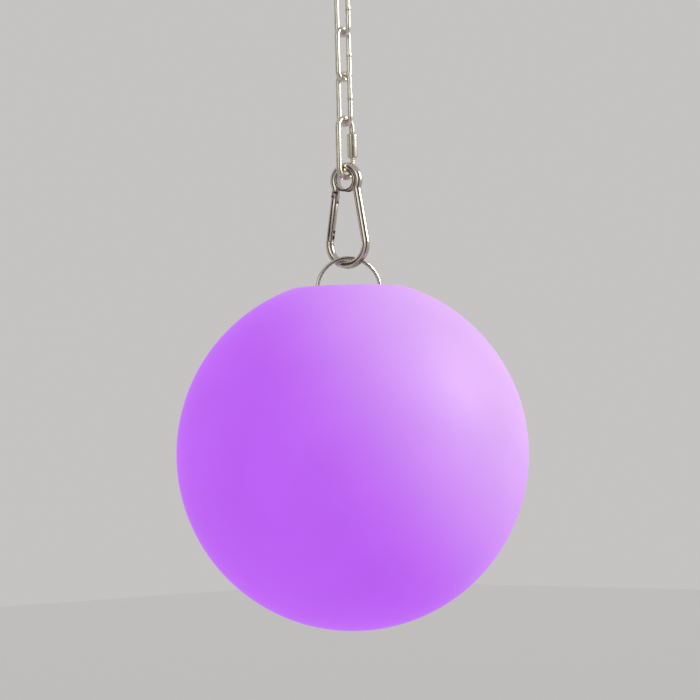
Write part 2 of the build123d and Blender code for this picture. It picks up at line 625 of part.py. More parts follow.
def port_plug():
    """The silicone bung: an oval cap on the pocket's floor and a hollow stopper in the socket."""
    cap_low, overhang, inset, tongue_room = -POCKET_DEPTH + SLIP / 2, 1.7, 0.4, 0.2
    low = -PORT_MOUTH_DEPTH - BUNG_REACH
    cap = oval_block(PORT_WIDTH + 2 * overhang, PORT_THICK + 2 * overhang, cap_low, cap_low + BUNG_CAP)
    cap = fillet(cap.edges().group_by(Axis.Z)[-1], 0.5)
    pull = block(3.0, 3.0, cap_low, cap_low + 1.0, x=PORT_WIDTH / 2 + overhang)
    stopper = oval_block(PORT_WIDTH - 2 * inset, PORT_THICK - 2 * inset, low, cap_low)
    stopper -= block(PORT_TONGUE_WIDTH + 2 * tongue_room, PORT_TONGUE_THICK + 2 * tongue_room,
                     low - 1, -PORT_MOUTH_DEPTH - 0.6)
    return Pos(0, -CONTROL_OFFSET, 0) * (cap + pull + stopper)


def light_pipe():
    """The clear rod that shows the charge lamp in the pocket's floor."""
    lamp_clearance = 0.7
    return upright(LIGHT_PIPE_RADIUS, -BOARD_DEPTH + lamp_clearance, -POCKET_DEPTH, *LIGHT_PIPE_PLACE)


def control_board():
    """The round circuit board on the base plate's standoffs."""
    board = upright(BOARD_RADIUS, board_under, -BOARD_DEPTH)
    for x, y in STANDOFF_PLACES:
        board -= upright(BOARD_SCREW / 2 + SCREW_PLAY, board_under - 1, 1 - BOARD_DEPTH, x, y)
    return board


def board_screws():
    screw = Rot(180, 0, 0) * pan_screw(BOARD_SCREW, BOARD_SCREW_HEAD, 6.0)
    return [Pos(x, y, board_under) * screw for x, y in STANDOFF_PLACES]


def board_parts():
    """Controller, charger, filter coil, charge lamp and three lamp drivers on the board."""
    def package(width, depth, height, x, y):
        return block(width, depth, board_under - height, board_under, x, y)

    controller = package(5.0, 4.0, 1.6, x=-6.0, y=7.0)
    charger = package(3.0, 3.0, 1.1, x=7.0, y=-6.0)
    coil = package(5.0, 5.0, 3.0, x=-7.0, y=-8.0)
    charge_lamp = block(1.6, 0.8, -BOARD_DEPTH, -BOARD_DEPTH + 0.6, *LIGHT_PIPE_PLACE)
    drivers = [package(2.9, 1.6, 1.1, x=-12.0 + 4.0 * index, y=13.0) for index in range(3)]
    return [controller, charger, coil, charge_lamp] + drivers


def lead_sockets():
    """Two keyed sockets under the board, for the cell's leads and for the lamp board's lead."""
    length, width, height, roof = 6.0, 4.5, 3.5, 1.5
    sockets = []
    for x, y in (CELL_SOCKET_PLACE, LED_SOCKET_PLACE):
        socket = block(length, width, board_under - height, board_under, x, y)
        well = block(length - 1.2, 2.0, board_under - height - 1, board_under - roof, x, y + 0.5)
        sockets.append(socket - well)
    return sockets


def light_housing():
    """The sealed cup behind the base plate, with the floor that carries the lamp board."""
    top = pocket_under - SLIP
    floor_high = -HOUSING_FLOOR_DEPTH
    floor_low = floor_high - HOUSING_FLOOR
    cup = turned(
        (HOUSING_INNER, top), (HOUSING_OUTER, top), (HOUSING_OUTER, -HOUSING_END_DEPTH),
        (HOUSING_INNER, -HOUSING_END_DEPTH), (HOUSING_INNER, floor_low), (0, floor_low),
        (0, floor_high), (HOUSING_INNER, floor_high),
    )
    cup -= upright(LED_LEAD_HOLE, floor_low - 1, floor_high + 1, *LED_LEAD_PLACE)
    for angle in LED_BOARD_SCREW_ANGLES:
        x, y = on_circle(LED_BOARD_SCREW_CIRCLE, angle)
        cup -= upright(BOARD_SCREW / 2 + SLIP / 2, floor_low - 1, floor_high + 1, x, y)
    return cup


def housing_o_ring():
    """The ring in the spigot's groove, as thick as the room between groove and housing."""
    groove_floor = HOUSING_INNER - SLIP - O_RING_GROOVE
    return Pos(0, 0, -O_RING_DEPTH) * Torus((groove_floor + HOUSING_INNER) / 2, O_RING_RADIUS)


def battery_cell():
    """The round cell, lying on its side, with a raised terminal at one end."""
    terminal_radius, terminal_rise, sunk = 2.8, 0.7, 0.1
    cell = Cylinder(CELL_RADIUS, CELL_LENGTH)
    cell = fillet(cell.edges(), 0.6)
    cell += upright(terminal_radius, CELL_LENGTH / 2 - sunk, CELL_LENGTH / 2 + terminal_rise)
    return Pos(0, 0, -CELL_DEPTH) * Rot(0, 90, 0) * cell


def battery_cradle():
    """The holder under the cell: a floor, two saddles and an end stop at each end."""
    low = -HOUSING_FLOOR_DEPTH + SLIP / 2
    length = 2 * CRADLE_STOP_X + CRADLE_STOP
    bore = Rot(0, 90, 0) * Cylinder(CELL_RADIUS + 0.15, CELL_LENGTH + 2.4)
    cradle = block(length, 15.0, low, low + CRADLE_FLOOR)
    for side in (-1, 1):
        cradle += block(4.0, 18.0, low, -CELL_DEPTH - 1.0, x=side * 11.0)
        cradle += block(CRADLE_STOP, 14.0, low, -CELL_DEPTH + 4.0, x=side * CRADLE_STOP_X)
        cradle -= upright(BOARD_SCREW / 2 + SCREW_PLAY, low - 1, low + CRADLE_FLOOR + 1, x=side * 6.0)
    return cradle - Pos(0, 0, -CELL_DEPTH) * bore


def battery_strap():
    """The band over the cell, its feet on the cradle's floor."""
    inner, outer, width = CELL_RADIUS + 0.2, CELL_RADIUS + 1.0, 7.0
    low = -HOUSING_FLOOR_DEPTH + SLIP + CRADLE_FLOOR
    ring = Rot(0, 90, 0) * (Cylinder(outer, width) - Cylinder(inner, width + 1))
    band = Pos(0, 0, -CELL_DEPTH) * (ring & block(width + 1, 3 * outer, 0, 2 * outer))
    for side in (-1, 1):
        band += block(width, outer - inner, low, -CELL_DEPTH, y=side * (outer + inner) / 2)
    return band


def battery_leads():
    """Two leads from the ends of the cell to the first socket under the board."""
    socket_x, socket_y = CELL_SOCKET_PLACE
    leads = []
    for end in (1, -1):
        x, y = socket_x + 0.8 * end, socket_y + 0.5
        path = FilletPolyline(
            (end * CELL_LEAD_X, 4.0, -CELL_DEPTH - 1.0), (end * CELL_LEAD_X, 8.5, -CELL_DEPTH + 6.0),
            (end * 14.0, y, -20.5), (x, y, -19.9), (x, y, board_under - 1.6), radius=1.4,
        )
        leads.append(sweep(Plane(path @ 0, z_dir=path % 0) * Circle(CORE_RADIUS), path=path))
    return leads


def led_leads():
    """The jacketed lead from the second socket, through the housing's floor, to the lamp board."""
    socket_x, socket_y = LED_SOCKET_PLACE
    path = FilletPolyline(
        (socket_x, socket_y + 0.5, board_under - 1.6), (socket_x, socket_y + 0.5, -20.0),
        (*LED_LEAD_PLACE, -26.0), (*LED_LEAD_PLACE, -HOUSING_FLOOR_DEPTH - HOUSING_FLOOR - 0.3), radius=6.0,
    )
    return sweep(Plane(path @ 0, z_dir=path % 0) * Circle(JACKET_RADIUS), path=path)


def led_board():
    """The round lamp board under the housing's floor."""
    low, high = lamp_face - 1, lamp_face + LED_BOARD_THICKNESS + 1
    board = upright(LED_BOARD_RADIUS, lamp_face, lamp_face + LED_BOARD_THICKNESS)
    board -= upright(LED_LEAD_HOLE, low, high, *LED_LEAD_PLACE)
    for angle in LED_BOARD_SCREW_ANGLES:
        x, y = on_circle(LED_BOARD_SCREW_CIRCLE, angle)
        board -= upright(BOARD_SCREW / 2 + SCREW_PLAY, low, high, x, y)
    return board


def led_chips():
    """A ring of lamp packages with one in the middle, each with a shallow cup in its free face."""
    chip = block(LED_SIZE, LED_SIZE, -LED_HEIGHT, 0)
    chip -= Pos(0, 0, -LED_HEIGHT) * Cone(1.7, 2.0, 0.6)
    places = [on_circle(LED_RING, 360 * (index + 0.5) / LED_COUNT) for index in range(LED_COUNT)]
    return [Pos(x, y, lamp_face) * chip for x, y in places + [(0, 0)]]


def led_board_screws():
    screw = Rot(180, 0, 0) * pan_screw(BOARD_SCREW, BOARD_SCREW_HEAD, 3.0)
    places = [on_circle(LED_BOARD_SCREW_CIRCLE, angle) for angle in LED_BOARD_SCREW_ANGLES]
    return [Pos(x, y, lamp_face) * screw for x, y in places]


def led_lens():
    """The clear dome over the chips, with a spigot that closes the housing."""
    end = -HOUSING_END_DEPTH - SLIP / 2
    flange, spigot = end - 1.8, end + 2.0
    foot = HOUSING_INNER - 0.6
    radius = (foot**2 + LENS_RISE**2) / (2 * LENS_RISE)
    dome = Pos(0, 0, flange - LENS_RISE + radius) * (Sphere(radius) - Sphere(radius - LENS_WALL))
    dome &= upright(HOUSING_OUTER, flange - LENS_RISE - 1, flange + 0.5)
    ring = upright(HOUSING_OUTER, flange, end) + upright(HOUSING_INNER - SLIP, end, spigot)
    return dome + (ring - upright(HOUSING_INNER - 1.8, flange - 1, spigot + 1))


# ---------------------------------------------------------------- every sub-part, in its place
save(ceiling_plate(), "ceiling_plate")
save(ceiling_hook(), "ceiling_hook")
for number, (top, turn) in enumerate(((link_1_top, 0), (link_2_top, 90), (link_3_top, 0)), 1):
    save(chain_link(), f"chain_link_{number}", Pos(0, 0, top - link_drop / 2) * Rot(0, 0, turn))
save(quick_link_body(), "quick_link_body", Pos(0, 0, quick_middle))
save(quick_link_sleeve(), "quick_link_sleeve", Pos(0, 0, quick_middle))

save(snap_hook_body(), "snap_hook_body", hook_place)
save(snap_hook_thimble(), "snap_hook_thimble", hook_place)
for piece in (snap_hook_gate, gate_hinge_rivet, gate_latch_pin, gate_plunger, gate_spring):
    save(piece(), piece.__name__, hook_place * gate_place)

for piece in (bail, globe_shell, base_gasket, base_plate, power_button, switch_body, switch_plunger,
              charge_port, port_plug, light_pipe, control_board, light_housing, housing_o_ring,
              battery_cell, battery_cradle, battery_strap, led_leads, led_board, led_lens):
    save(piece(), piece.__name__, rim_place)
for group in (rim_screws, board_screws, board_parts, lead_sockets, battery_leads, led_chips,
              led_board_screws):
    save(Compound(children=group()), group.__name__, rim_place)
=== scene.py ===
"""Looks of the hanging garden globe light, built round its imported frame.

Lengths are in metres and +Z is up, as in the frame. Chain links 1 and 3 lie in the XZ plane, and chain
link 2, the quick link and the ceiling hook in the YZ plane. The snap hook, the bail and the base plate
are turned about Z, the hook a little and the other two further.
"""

import json
import math

import bmesh
import bpy
from mathutils import Matrix, Vector


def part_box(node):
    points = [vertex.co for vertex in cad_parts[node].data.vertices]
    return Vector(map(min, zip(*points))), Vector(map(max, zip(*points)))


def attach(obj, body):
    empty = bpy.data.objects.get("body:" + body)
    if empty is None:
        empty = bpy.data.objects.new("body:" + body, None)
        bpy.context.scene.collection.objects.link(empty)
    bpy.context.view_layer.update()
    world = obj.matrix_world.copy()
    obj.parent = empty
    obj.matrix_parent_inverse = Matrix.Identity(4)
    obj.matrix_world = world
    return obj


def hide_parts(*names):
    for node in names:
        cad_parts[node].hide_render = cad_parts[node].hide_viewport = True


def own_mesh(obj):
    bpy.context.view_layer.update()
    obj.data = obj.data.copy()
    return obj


bl_info = {
    "name": "Garden globe light",
    "version": (1, 0, 0),
    "blender": (4, 5, 0),
    "location": "3D View > Sidebar > Globe light",
    "description": "Makes the pieces and finishes of a hanging garden globe light round its frame",
    "category": "Add Mesh",
}

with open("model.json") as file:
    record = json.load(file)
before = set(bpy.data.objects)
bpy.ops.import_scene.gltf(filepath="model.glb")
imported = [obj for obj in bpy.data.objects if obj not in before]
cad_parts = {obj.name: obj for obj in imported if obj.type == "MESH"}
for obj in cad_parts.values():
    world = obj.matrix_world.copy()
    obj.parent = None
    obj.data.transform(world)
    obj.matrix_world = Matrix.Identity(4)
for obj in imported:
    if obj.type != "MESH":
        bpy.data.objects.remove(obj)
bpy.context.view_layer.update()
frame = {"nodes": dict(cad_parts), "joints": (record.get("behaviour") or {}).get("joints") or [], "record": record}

MM = 0.001
UP = Vector((0, 0, 1))
ALONG_X = Vector((1, 0, 0))
ALONG_Y = Vector((0, 1, 0))
SMOOTH_BELOW = 35  # degrees; a sharper edge of a made piece stays sharp
WORKED_ABOVE = 30  # degrees; a sharper edge of a copied CAD piece is softened
ON_AXIS = 1e-7


# ---------------------------------------------------------------- places read from the frame
def middle_of(node):
    low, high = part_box(node)
    return (low + high) / 2


def size_of(node):
    low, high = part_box(node)
    return high - low


def joint_of(name):
    """A joint of the frame by its name."""
    return next(joint for joint in frame["joints"] if joint["name"] == name)


rim_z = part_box("globe_shell")[1].z
globe_radius = size_of("globe_shell").x / 2
globe_low_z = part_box("globe_shell")[0].z
tilt_axis = Vector(joint_of("globe_tilt")["axis"])
bail_turn = math.atan2(tilt_axis.y, tilt_axis.x)
rim_place = Matrix.Translation((0, 0, rim_z)) @ Matrix.Rotation(bail_turn, 4, "Z")


# ---------------------------------------------------------------- settings
def length(name, millimetres, description):
    """A length setting, given in millimetres."""
    return bpy.props.FloatProperty(
        name=name, description=description, default=millimetres * MM, min=0, subtype="DISTANCE",
        unit="LENGTH", precision=5,
    )


def colour(name, linear, description):
    return bpy.props.FloatVectorProperty(
        name=name, description=description, default=linear, size=3, min=0, max=1, subtype="COLOR",
    )


def share(name, default, description):
    return bpy.props.FloatProperty(
        name=name, description=description, default=default, min=0, max=10, subtype="FACTOR",
    )


def power(name, watts, description):
    return bpy.props.FloatProperty(name=name, description=description, default=watts, min=0)


class GlobeSettings(bpy.types.PropertyGroup):
    wall: length("Wall", 2.0, "Thickness of the globe's moulded wall")
    rim_round: length("Rim round", 1.2, "Round between the globe and its flat")
    mouth_radius: length("Mouth radius", 24.4, "Radius of the mouth for the base plate's pocket")
    seat_radius: length("Seat radius", 30.25, "Radius of the step for the base plate's flange")
    seat_depth: length("Seat depth", 2.3, "Depth of that step")
    lip_radius: length("Lip radius", 31.5, "Radius of the thick lip under the flat")
    lip_depth: length("Lip depth", 8.5, "Depth of the lip below the flat")
    flat_wall: length("Flat wall", 2.5, "Thickness of the flat beside the lip")
    shell_colour: colour("Shell", (0.33, 0.42, 0.07), "Colour of the unlit plastic under the glow")
    glow_colour: colour("Glow", (0.45, 0.045, 0.90), "Colour of the light that comes through the wall")
    glow_strength: share("Glow strength", 1.0, "Strength of that light")
    segments: bpy.props.IntProperty(
        name="Segments", description="Faces round the globe", default=160, min=32, max=256,
    )


class ChainSettings(bpy.types.PropertyGroup):
    wire: length("Wire", 3.0, "Thickness of a chain link's wire")
    link_length: length("Link length", 32.0, "Outside length of a chain link")
    link_width: length("Link width", 12.0, "Outside width of a chain link")
    weld_bulge: length("Weld bulge", 0.25, "How far the weld stands out from the wire")
    quick_wire: length("Quick link wire", 3.3, "Thickness of the quick link's wire")
    stud: length("Stud", 2.8, "Thickness of the quick link's threaded studs, over the thread")
    pitch: length("Pitch", 0.5, "Pitch of that thread")
    ridge: length("Ridge", 0.34, "Thickness of the thread's ridge")
    upper_stud_foot: length("Upper stud foot", 6.6, "Height of the upper stud's end over the middle")
    lower_stud_tip: length("Lower stud tip", 1.0, "Height of the lower stud's end over the middle")
    zinc_colour: colour("Chain zinc", (0.86, 0.83, 0.71), "Colour of the chain's plating")
    link_colour: colour("Quick link zinc", (0.84, 0.78, 0.64), "Colour of the quick link's plating")


class HookSettings(bpy.types.PropertyGroup):
    edge: length("Edge", 0.12, "Softening of the snap hook's worked edges")
    steel_colour: colour("Steel", (0.68, 0.61, 0.53), "Colour of the snap hook's polished steel")
    wire_colour: colour("Wire", (0.74, 0.69, 0.64), "Colour of the bail's wire")
    bail_wire: length("Bail wire", 2.2, "Thickness of the bail's wire")
    bail_radius: length("Bail radius", 18.2, "Radius of the bail's arch on the wire's middle")
    bail_depth: length("Bail round depth", 1.0, "How far the arch's middle lies below the flat")
    pin_depth: length("Pin depth", 3.0, "How far the bail's pins lie below the flat")
    pin_reach: length("Pin reach", 22.6, "How far the pins reach from the middle")
    bend: length("Bend", 1.6, "Radius of the bend between a leg and its pin")
    spring_wire: length("Spring wire", 0.35, "Thickness of the wire of the spring in the gate")
    spring_radius: length("Spring radius", 1.1, "Outside radius of that spring")


class FittingSettings(bpy.types.PropertyGroup):
    hook_wire: length("Hook wire", 4.0, "Thickness of the ceiling hook's wire")
    hook_radius: length("Hook radius", 7.0, "Radius of the ceiling hook on the wire's middle")
    hook_depth: length("Hook depth", 18.0, "Ceiling to the middle of the hook's round")
    neck_radius: length("Neck radius", 3.0, "Radius of the bend between stem and round")
    plate_thickness: length("Plate", 3.0, "Thickness of the ceiling plate")
    weld_height: length("Weld height", 1.8, "How far the weld bead reaches down the hook's stem")
    weld_reach: length("Weld reach", 1.6, "How far the bead reaches out over the plate")
    plate_colour: colour("Plate", (0.66, 0.66, 0.63), "Colour of the plated ceiling plate")


class BaseSettings(bpy.types.PropertyGroup):
    plate_edge: length("Plate edge", 0.15, "Softening of the base plate's and bung's edges")
    button_edge: length("Button edge", 0.12, "Softening of the power button's edges")
    screw_circle: length("Screw circle", 27.1, "Radius of the circle that the rim screws stand on")
    head: length("Head", 2.3, "Radius of a rim screw's head")
    head_depth: length("Head depth", 1.25, "Depth of that head")
    shank: length("Shank", 1.22, "Radius of its shank over the thread")
    screw_length: length("Screw length", 8.0, "Length of the screw, head included")
    white: colour("Base white", (0.74, 0.73, 0.72), "Colour of the base plate")


class StageSettings(bpy.types.PropertyGroup):
    floor_drop: length("Floor drop", 2400.0, "How far the floor lies below the ceiling")
    floor_size: length("Floor size", 60000.0, "Width of the floor")
    floor_colour: colour("Floor", (0.72, 0.71, 0.70), "Colour of the floor")
    floor_lift: share("Floor lift", 0.7, "How far the floor is brought up to the backdrop")
    backdrop: colour("Backdrop", (0.56, 0.55, 0.54), "Colour round the stage as the camera sees it")
    ambient: share("Ambient", 0.12, "Strength of the soft light from all round")
    key_power: power("Key", 22, "Power of the large lamp on the right, in watts")
    fill_power: power("Fill", 1.5, "Power of the small lamp by the camera, in watts")
    key_size: length("Key size", 900.0, "Width of the large lamp")
    key_distance: length("Key distance", 1500.0, "From the globe's middle to the large lamp")
    fill_size: length("Fill size", 700.0, "Width of the small lamp")
    fill_distance: length("Fill distance", 1600.0, "From the globe's middle to the small lamp")
    card_distance: length("Card distance", 700.0, "From the snap hook to the dark cards, about")


def settings():
    return bpy.context.scene.globe_light


def group(kind, name, description):
    """A group of settings inside another one."""
    return bpy.props.PointerProperty(type=kind, name=name, description=description)


class GlobeLightSettings(bpy.types.PropertyGroup):
    globe: group(GlobeSettings, "Globe", "Globe and its glow")
    chain: group(ChainSettings, "Chain", "Chain and quick link")
    hook: group(HookSettings, "Hook", "Snap hook and bail")
    fitting: group(FittingSettings, "Fitting", "Ceiling fitting")
    base: group(BaseSettings, "Base", "Base plate and screws")
    stage: group(StageSettings, "Stage", "Floor and lamps")


# ---------------------------------------------------------------- node making
class Nodes:
    """The nodes of a material, a world or a Geometry Nodes tree."""

    def __init__(self, tree):
        self.nodes, self.links = tree.nodes, tree.links

    def feed(self, socket, value):
        """Link a socket to another one, or give it a plain value."""
        if isinstance(value, bpy.types.NodeSocket):
            self.links.new(value, socket)
        else:
            socket.default_value = value

    def node(self, kind, inputs=None, **properties):
        made = self.nodes.new(kind)
        for key, value in properties.items():
            setattr(made, key, value)
        for key, value in (inputs or {}).items():
            self.feed(made.inputs[key], value)
        return made

    def sum(self, operation, first, second=0.0):
        return self.node("ShaderNodeMath", {0: first, 1: second}, operation=operation).outputs[0]


# ---------------------------------------------------------------- material making
class Shading(Nodes):
    """The nodes of one material, ended by a Principled BSDF, or those of a world."""

    def __init__(self, name, world=None):
        self.material = world or bpy.data.materials.new(name + "_finish")
        self.material.use_nodes = True
        super().__init__(self.material.node_tree)
        self.surface = self.nodes.get("Principled BSDF")

    def set(self, **values):
        """Feed sockets of the surface shader, with spaces written as underscores."""
        for key, value in values.items():
            self.feed(self.surface.inputs[key.replace("_", " ")], value)

    def place(self, scale=(1, 1, 1), turn=(0, 0, 0)):
        """Object coordinates, stretched and turned."""
        source = self.node("ShaderNodeTexCoord")
        return self.node(
            "ShaderNodeMapping",
            {"Vector": source.outputs["Object"], "Scale": scale, "Rotation": turn},
        ).outputs["Vector"]

    def noise(self, vector, grain, detail=3.0, roughness=0.5):
        """Noise whose features are about one grain, in metres, across."""
        return self.node(
            "ShaderNodeTexNoise",
            {"Vector": vector, "Scale": 1 / grain, "Detail": detail, "Roughness": roughness},
        ).outputs["Fac"]

    def spread(self, value, low, high, from_low=0.3, from_high=0.7):
        """The value, mapped from its usual span to low and high."""
        return self.node(
            "ShaderNodeMapRange",
            {"Value": value, "From Min": from_low, "From Max": from_high,
             "To Min": low, "To Max": high},
        ).outputs["Result"]

    def blend(self, factor, first, second):
        mix = self.node("ShaderNodeMix", data_type="RGBA")
        self.feed(mix.inputs[0], factor)
        self.feed(mix.inputs[6], (*first, 1) if isinstance(first, (tuple, list)) else first)
        self.feed(mix.inputs[7], (*second, 1) if isinstance(second, (tuple, list)) else second)
        return mix.outputs[2]

    def bump(self, height, depth, strength=1.0, under=None):
        inputs = {"Height": height, "Distance": depth, "Strength": strength}
        if under is not None:
            inputs["Normal"] = under
        return self.node("ShaderNodeBump", inputs).outputs["Normal"]


def seen_rays(shading):
    """1 where the eye, metal or a clear piece looks, and 0 for the rays that carry soft light."""
    path = shading.node("ShaderNodeLightPath")
    seen = shading.sum("MAXIMUM", path.outputs["Is Camera Ray"], path.outputs["Is Glossy Ray"])
    return shading.sum("MAXIMUM", seen, path.outputs["Is Transmission Ray"])


def shaded(linear, factor):
    return tuple(channel * factor for channel in linear)


def plated_metal(name, bright, low, high, lines=(1, 1, 1)):
    """Bright plating: cloudy brightness, drawn lines and a slightly uneven skin."""
    shading = Shading(name)
    plain, drawn = shading.place(), shading.place(scale=lines)
    clouds = shading.noise(plain, 2.6 * MM, 4)
    streaks = shading.noise(drawn, 0.35 * MM, 3, 0.6)
    stained = shading.blend(shading.spread(clouds, 0, 1), tuple(bright), shaded(bright, 0.86))
    base = shading.blend(shading.spread(streaks, 0, 0.18), stained, shaded(bright, 0.62))
    skin = shading.bump(clouds, 0.03 * MM, 0.5)
    shading.set(Base_Color=base, Metallic=1.0, Roughness=shading.spread(clouds, low, high),
                Normal=shading.bump(streaks, 0.004 * MM, 0.6, under=skin))
    return shading.material


def polished_metal(name, tone, low, high):
    """Polished steel with fine scratches and faint finger-dulled patches."""
    shading = Shading(name)
    patches = shading.noise(shading.place(), 5 * MM, 3)
    drawn = shading.place(scale=(1, 1, 0.12), turn=(0.3, 0.2, 0.5))
    scratches = shading.noise(drawn, 0.12 * MM, 2, 0.7)
    base = shading.blend(shading.spread(patches, 0, 1), tuple(tone), shaded(tone, 0.86))
    shading.set(Base_Color=base, Metallic=1.0, Roughness=shading.spread(patches, low, high),
                Normal=shading.bump(scratches, 0.0015 * MM, 0.5,
                                    under=shading.bump(patches, 0.04 * MM, 0.3)))
    return shading.material


def moulded(name, tone, low, high, grain=0.25, depth=0.012):
    """A moulding with a fine spark-eroded skin."""
    shading = Shading(name)
    skin = shading.noise(shading.place(), grain * MM, 4, 0.6)
    clouds = shading.noise(shading.place(), 9 * MM, 2)
    base = shading.blend(shading.spread(clouds, 0, 1), tuple(tone), shaded(tone, 0.93))
    shading.set(Base_Color=base, Roughness=shading.spread(skin, low, high),
                Normal=shading.bump(skin, depth * MM, 0.8))
    return shading.material


def lit_globe(name):
    """Satin plastic with the glow behind it, a faint orange peel and slightly uneven wall."""
    wanted = settings().globe
    shading = Shading(name)
    place = shading.place()
    wall = shading.noise(place, 38 * MM, 2)
    peel = shading.noise(place, 2.2 * MM, 2, 0.4)
    glow = tuple(wanted.glow_colour)
    uneven = shading.blend(shading.spread(wall, 0, 1), glow, shaded(glow, 0.965))
    base = shading.blend(shading.spread(wall, 0, 1), tuple(wanted.shell_colour),
                         shaded(wanted.shell_colour, 0.95))
    shading.set(Base_Color=base, Roughness=shading.spread(peel, 0.40, 0.48), Specular_IOR_Level=0.12,
                Emission_Color=uneven, Normal=shading.bump(peel, 0.02 * MM, 0.5))
    shading.surface.inputs["Emission Strength"].default_value = wanted.glow_strength
    return shading.material


def clear_plastic(name):
    shading = Shading(name)
    haze = shading.noise(shading.place(), 1.5 * MM, 2)
    shading.set(Base_Color=(0.95, 0.96, 0.97, 1), Roughness=shading.spread(haze, 0.03, 0.1), IOR=1.58)
    shading.surface.inputs["Transmission Weight"].default_value = 1.0
    return shading.material


def circuit_board(name):
    """Green solder mask over a net of copper runs."""
    shading = Shading(name)
    place = shading.place()
    runs = shading.node(
        "ShaderNodeTexBrick",
        {"Vector": place, "Scale": 1 / (6 * MM), "Mortar Size": 0.06, "Color1": (0, 0, 0, 1),
         "Color2": (0, 0, 0, 1), "Mortar": (1, 1, 1, 1)},
    ).outputs["Color"]
    clouds = shading.noise(place, 3 * MM)
    mask = shading.blend(shading.spread(clouds, 0, 1), (0.02, 0.12, 0.05), (0.025, 0.15, 0.065))
    shading.set(Base_Color=shading.blend(runs, mask, (0.05, 0.24, 0.11)),
                Roughness=shading.spread(clouds, 0.25, 0.4), Normal=shading.bump(runs, 0.03 * MM, 0.6))
    return shading.material


def lamp_chips(name):
    """Pale packages, each with a yellow phosphor in its cup."""
    shading = Shading(name)
    place = shading.place()
    grains = shading.noise(place, 0.2 * MM, 3)
    height = shading.node("ShaderNodeSeparateXYZ", {"Vector": place}).outputs["Z"]
    face_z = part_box("led_chips")[0].z
    deep = shading.spread(height, 1, 0, face_z + 0.1 * MM, face_z + 0.5 * MM)
    shading.set(Base_Color=shading.blend(deep, (0.82, 0.62, 0.16), (0.84, 0.82, 0.74)),
                Roughness=shading.spread(grains, 0.3, 0.45), Normal=shading.bump(grains, 0.01 * MM))
    return shading.material


def cell_wrap(name):
    """Plain blue shrink sleeve with soft creases stretched in one direction."""
    shading = Shading(name)
    creases = shading.noise(shading.place(scale=(0.25, 1, 1), turn=(0, 0, -bail_turn)), 0.9 * MM, 3)
    base = shading.blend(shading.spread(creases, 0, 1), (0.02, 0.09, 0.32), (0.03, 0.11, 0.38))
    shading.set(Base_Color=base, Roughness=shading.spread(creases, 0.24, 0.36),
                Normal=shading.bump(creases, 0.04 * MM, 0.5))
    return shading.material


def finish_makers():
    """Each material slot's maker, with its colour, its least and most roughness and its grain."""
    chain, hook, fitting, base = settings().chain, settings().hook, settings().fitting, settings().base
    return {
        "zinc_plate": (plated_metal, fitting.plate_colour, 0.26, 0.4, (0.2, 1, 1)),
        "chain_zinc": (plated_metal, chain.zinc_colour, 0.28, 0.42, (1, 1, 0.2)),
        "zinc_link": (plated_metal, chain.link_colour, 0.28, 0.4, (1, 1, 0.25)),
        "polished_steel": (polished_metal, hook.steel_colour, 0.14, 0.25),
        "spring_steel": (plated_metal, (0.42, 0.42, 0.44), 0.25, 0.4),
        "stainless_wire": (polished_metal, hook.wire_colour, 0.14, 0.26),
        "lit_globe": (lit_globe,),
        "silicone_seal": (moulded, (0.55, 0.55, 0.53), 0.55, 0.7, 0.6, 0.02),
        "base_white": (moulded, base.white, 0.38, 0.5),
        "screw_steel": (plated_metal, (0.56, 0.56, 0.58), 0.2, 0.32),
        "button_silicone": (moulded, (0.50, 0.51, 0.53), 0.5, 0.65, 0.4, 0.02),
        "black_moulding": (moulded, (0.012, 0.012, 0.013), 0.4, 0.55),
        "port_steel": (plated_metal, (0.60, 0.60, 0.61), 0.2, 0.3),
        "clear_plastic": (clear_plastic,),
        "circuit_board": (circuit_board,),
        "cell_wrap": (cell_wrap,),
        "lead_red": (moulded, (0.42, 0.02, 0.015), 0.4, 0.55, 0.8, 0.02),
        "lead_white": (moulded, (0.70, 0.70, 0.68), 0.4, 0.55, 0.8, 0.02),
        "lamp_board": (moulded, (0.78, 0.79, 0.79), 0.3, 0.42, 0.8, 0.01),
        "lamp_chips": (lamp_chips,),
    }


made_finishes = {}


def finish(slot):
    """The material of a slot, made when it is first wanted."""
    if slot not in made_finishes:
        maker, *looks = finish_makers()[slot]
        made_finishes[slot] = maker(slot, *looks)
    return made_finishes[slot]


# ---------------------------------------------------------------- mesh making
def arc(centre, radius, start, end, steps):
    """Points on an arc, as (across, up) pairs; angles in degrees from the across direction."""
    points = []
    for index in range(steps + 1):
        angle = math.radians(start + (end - start) * index / steps)
        points.append((centre[0] + radius * math.cos(angle), centre[1] + radius * math.sin(angle)))
    return points


def in_plane(points, across, place=Matrix()):
    """Lift (across, up) pairs into space."""
    return [place @ (across * a + UP * b) for a, b in points]


def new_piece(name, editor, slot, crease=SMOOTH_BELOW):
    """A piece from a bmesh."""
    mesh = bpy.data.meshes.new(name)
    editor.normal_update()
    editor.to_mesh(mesh)
    editor.free()
    return mesh_piece(name, mesh, slot, crease)


def mesh_piece(name, mesh, slot, crease=SMOOTH_BELOW):
    """A piece from a mesh, smooth but for edges sharper than the crease, in degrees."""
    for polygon in mesh.polygons:
        polygon.use_smooth = True
        polygon.material_index = 0
    mesh.set_sharp_from_angle(angle=math.radians(crease))
    mesh.materials.clear()
    mesh.materials.append(finish(slot))
    piece = bpy.data.objects.new(name, mesh)
    bpy.context.scene.collection.objects.link(piece)
    return piece


def settle(piece, body, slot, *nodes):
    """Put a finished piece on its body and hide the nodes that it stands for; its slot is not used."""
    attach(piece, body)
    if nodes:
        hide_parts(*nodes)
    return piece


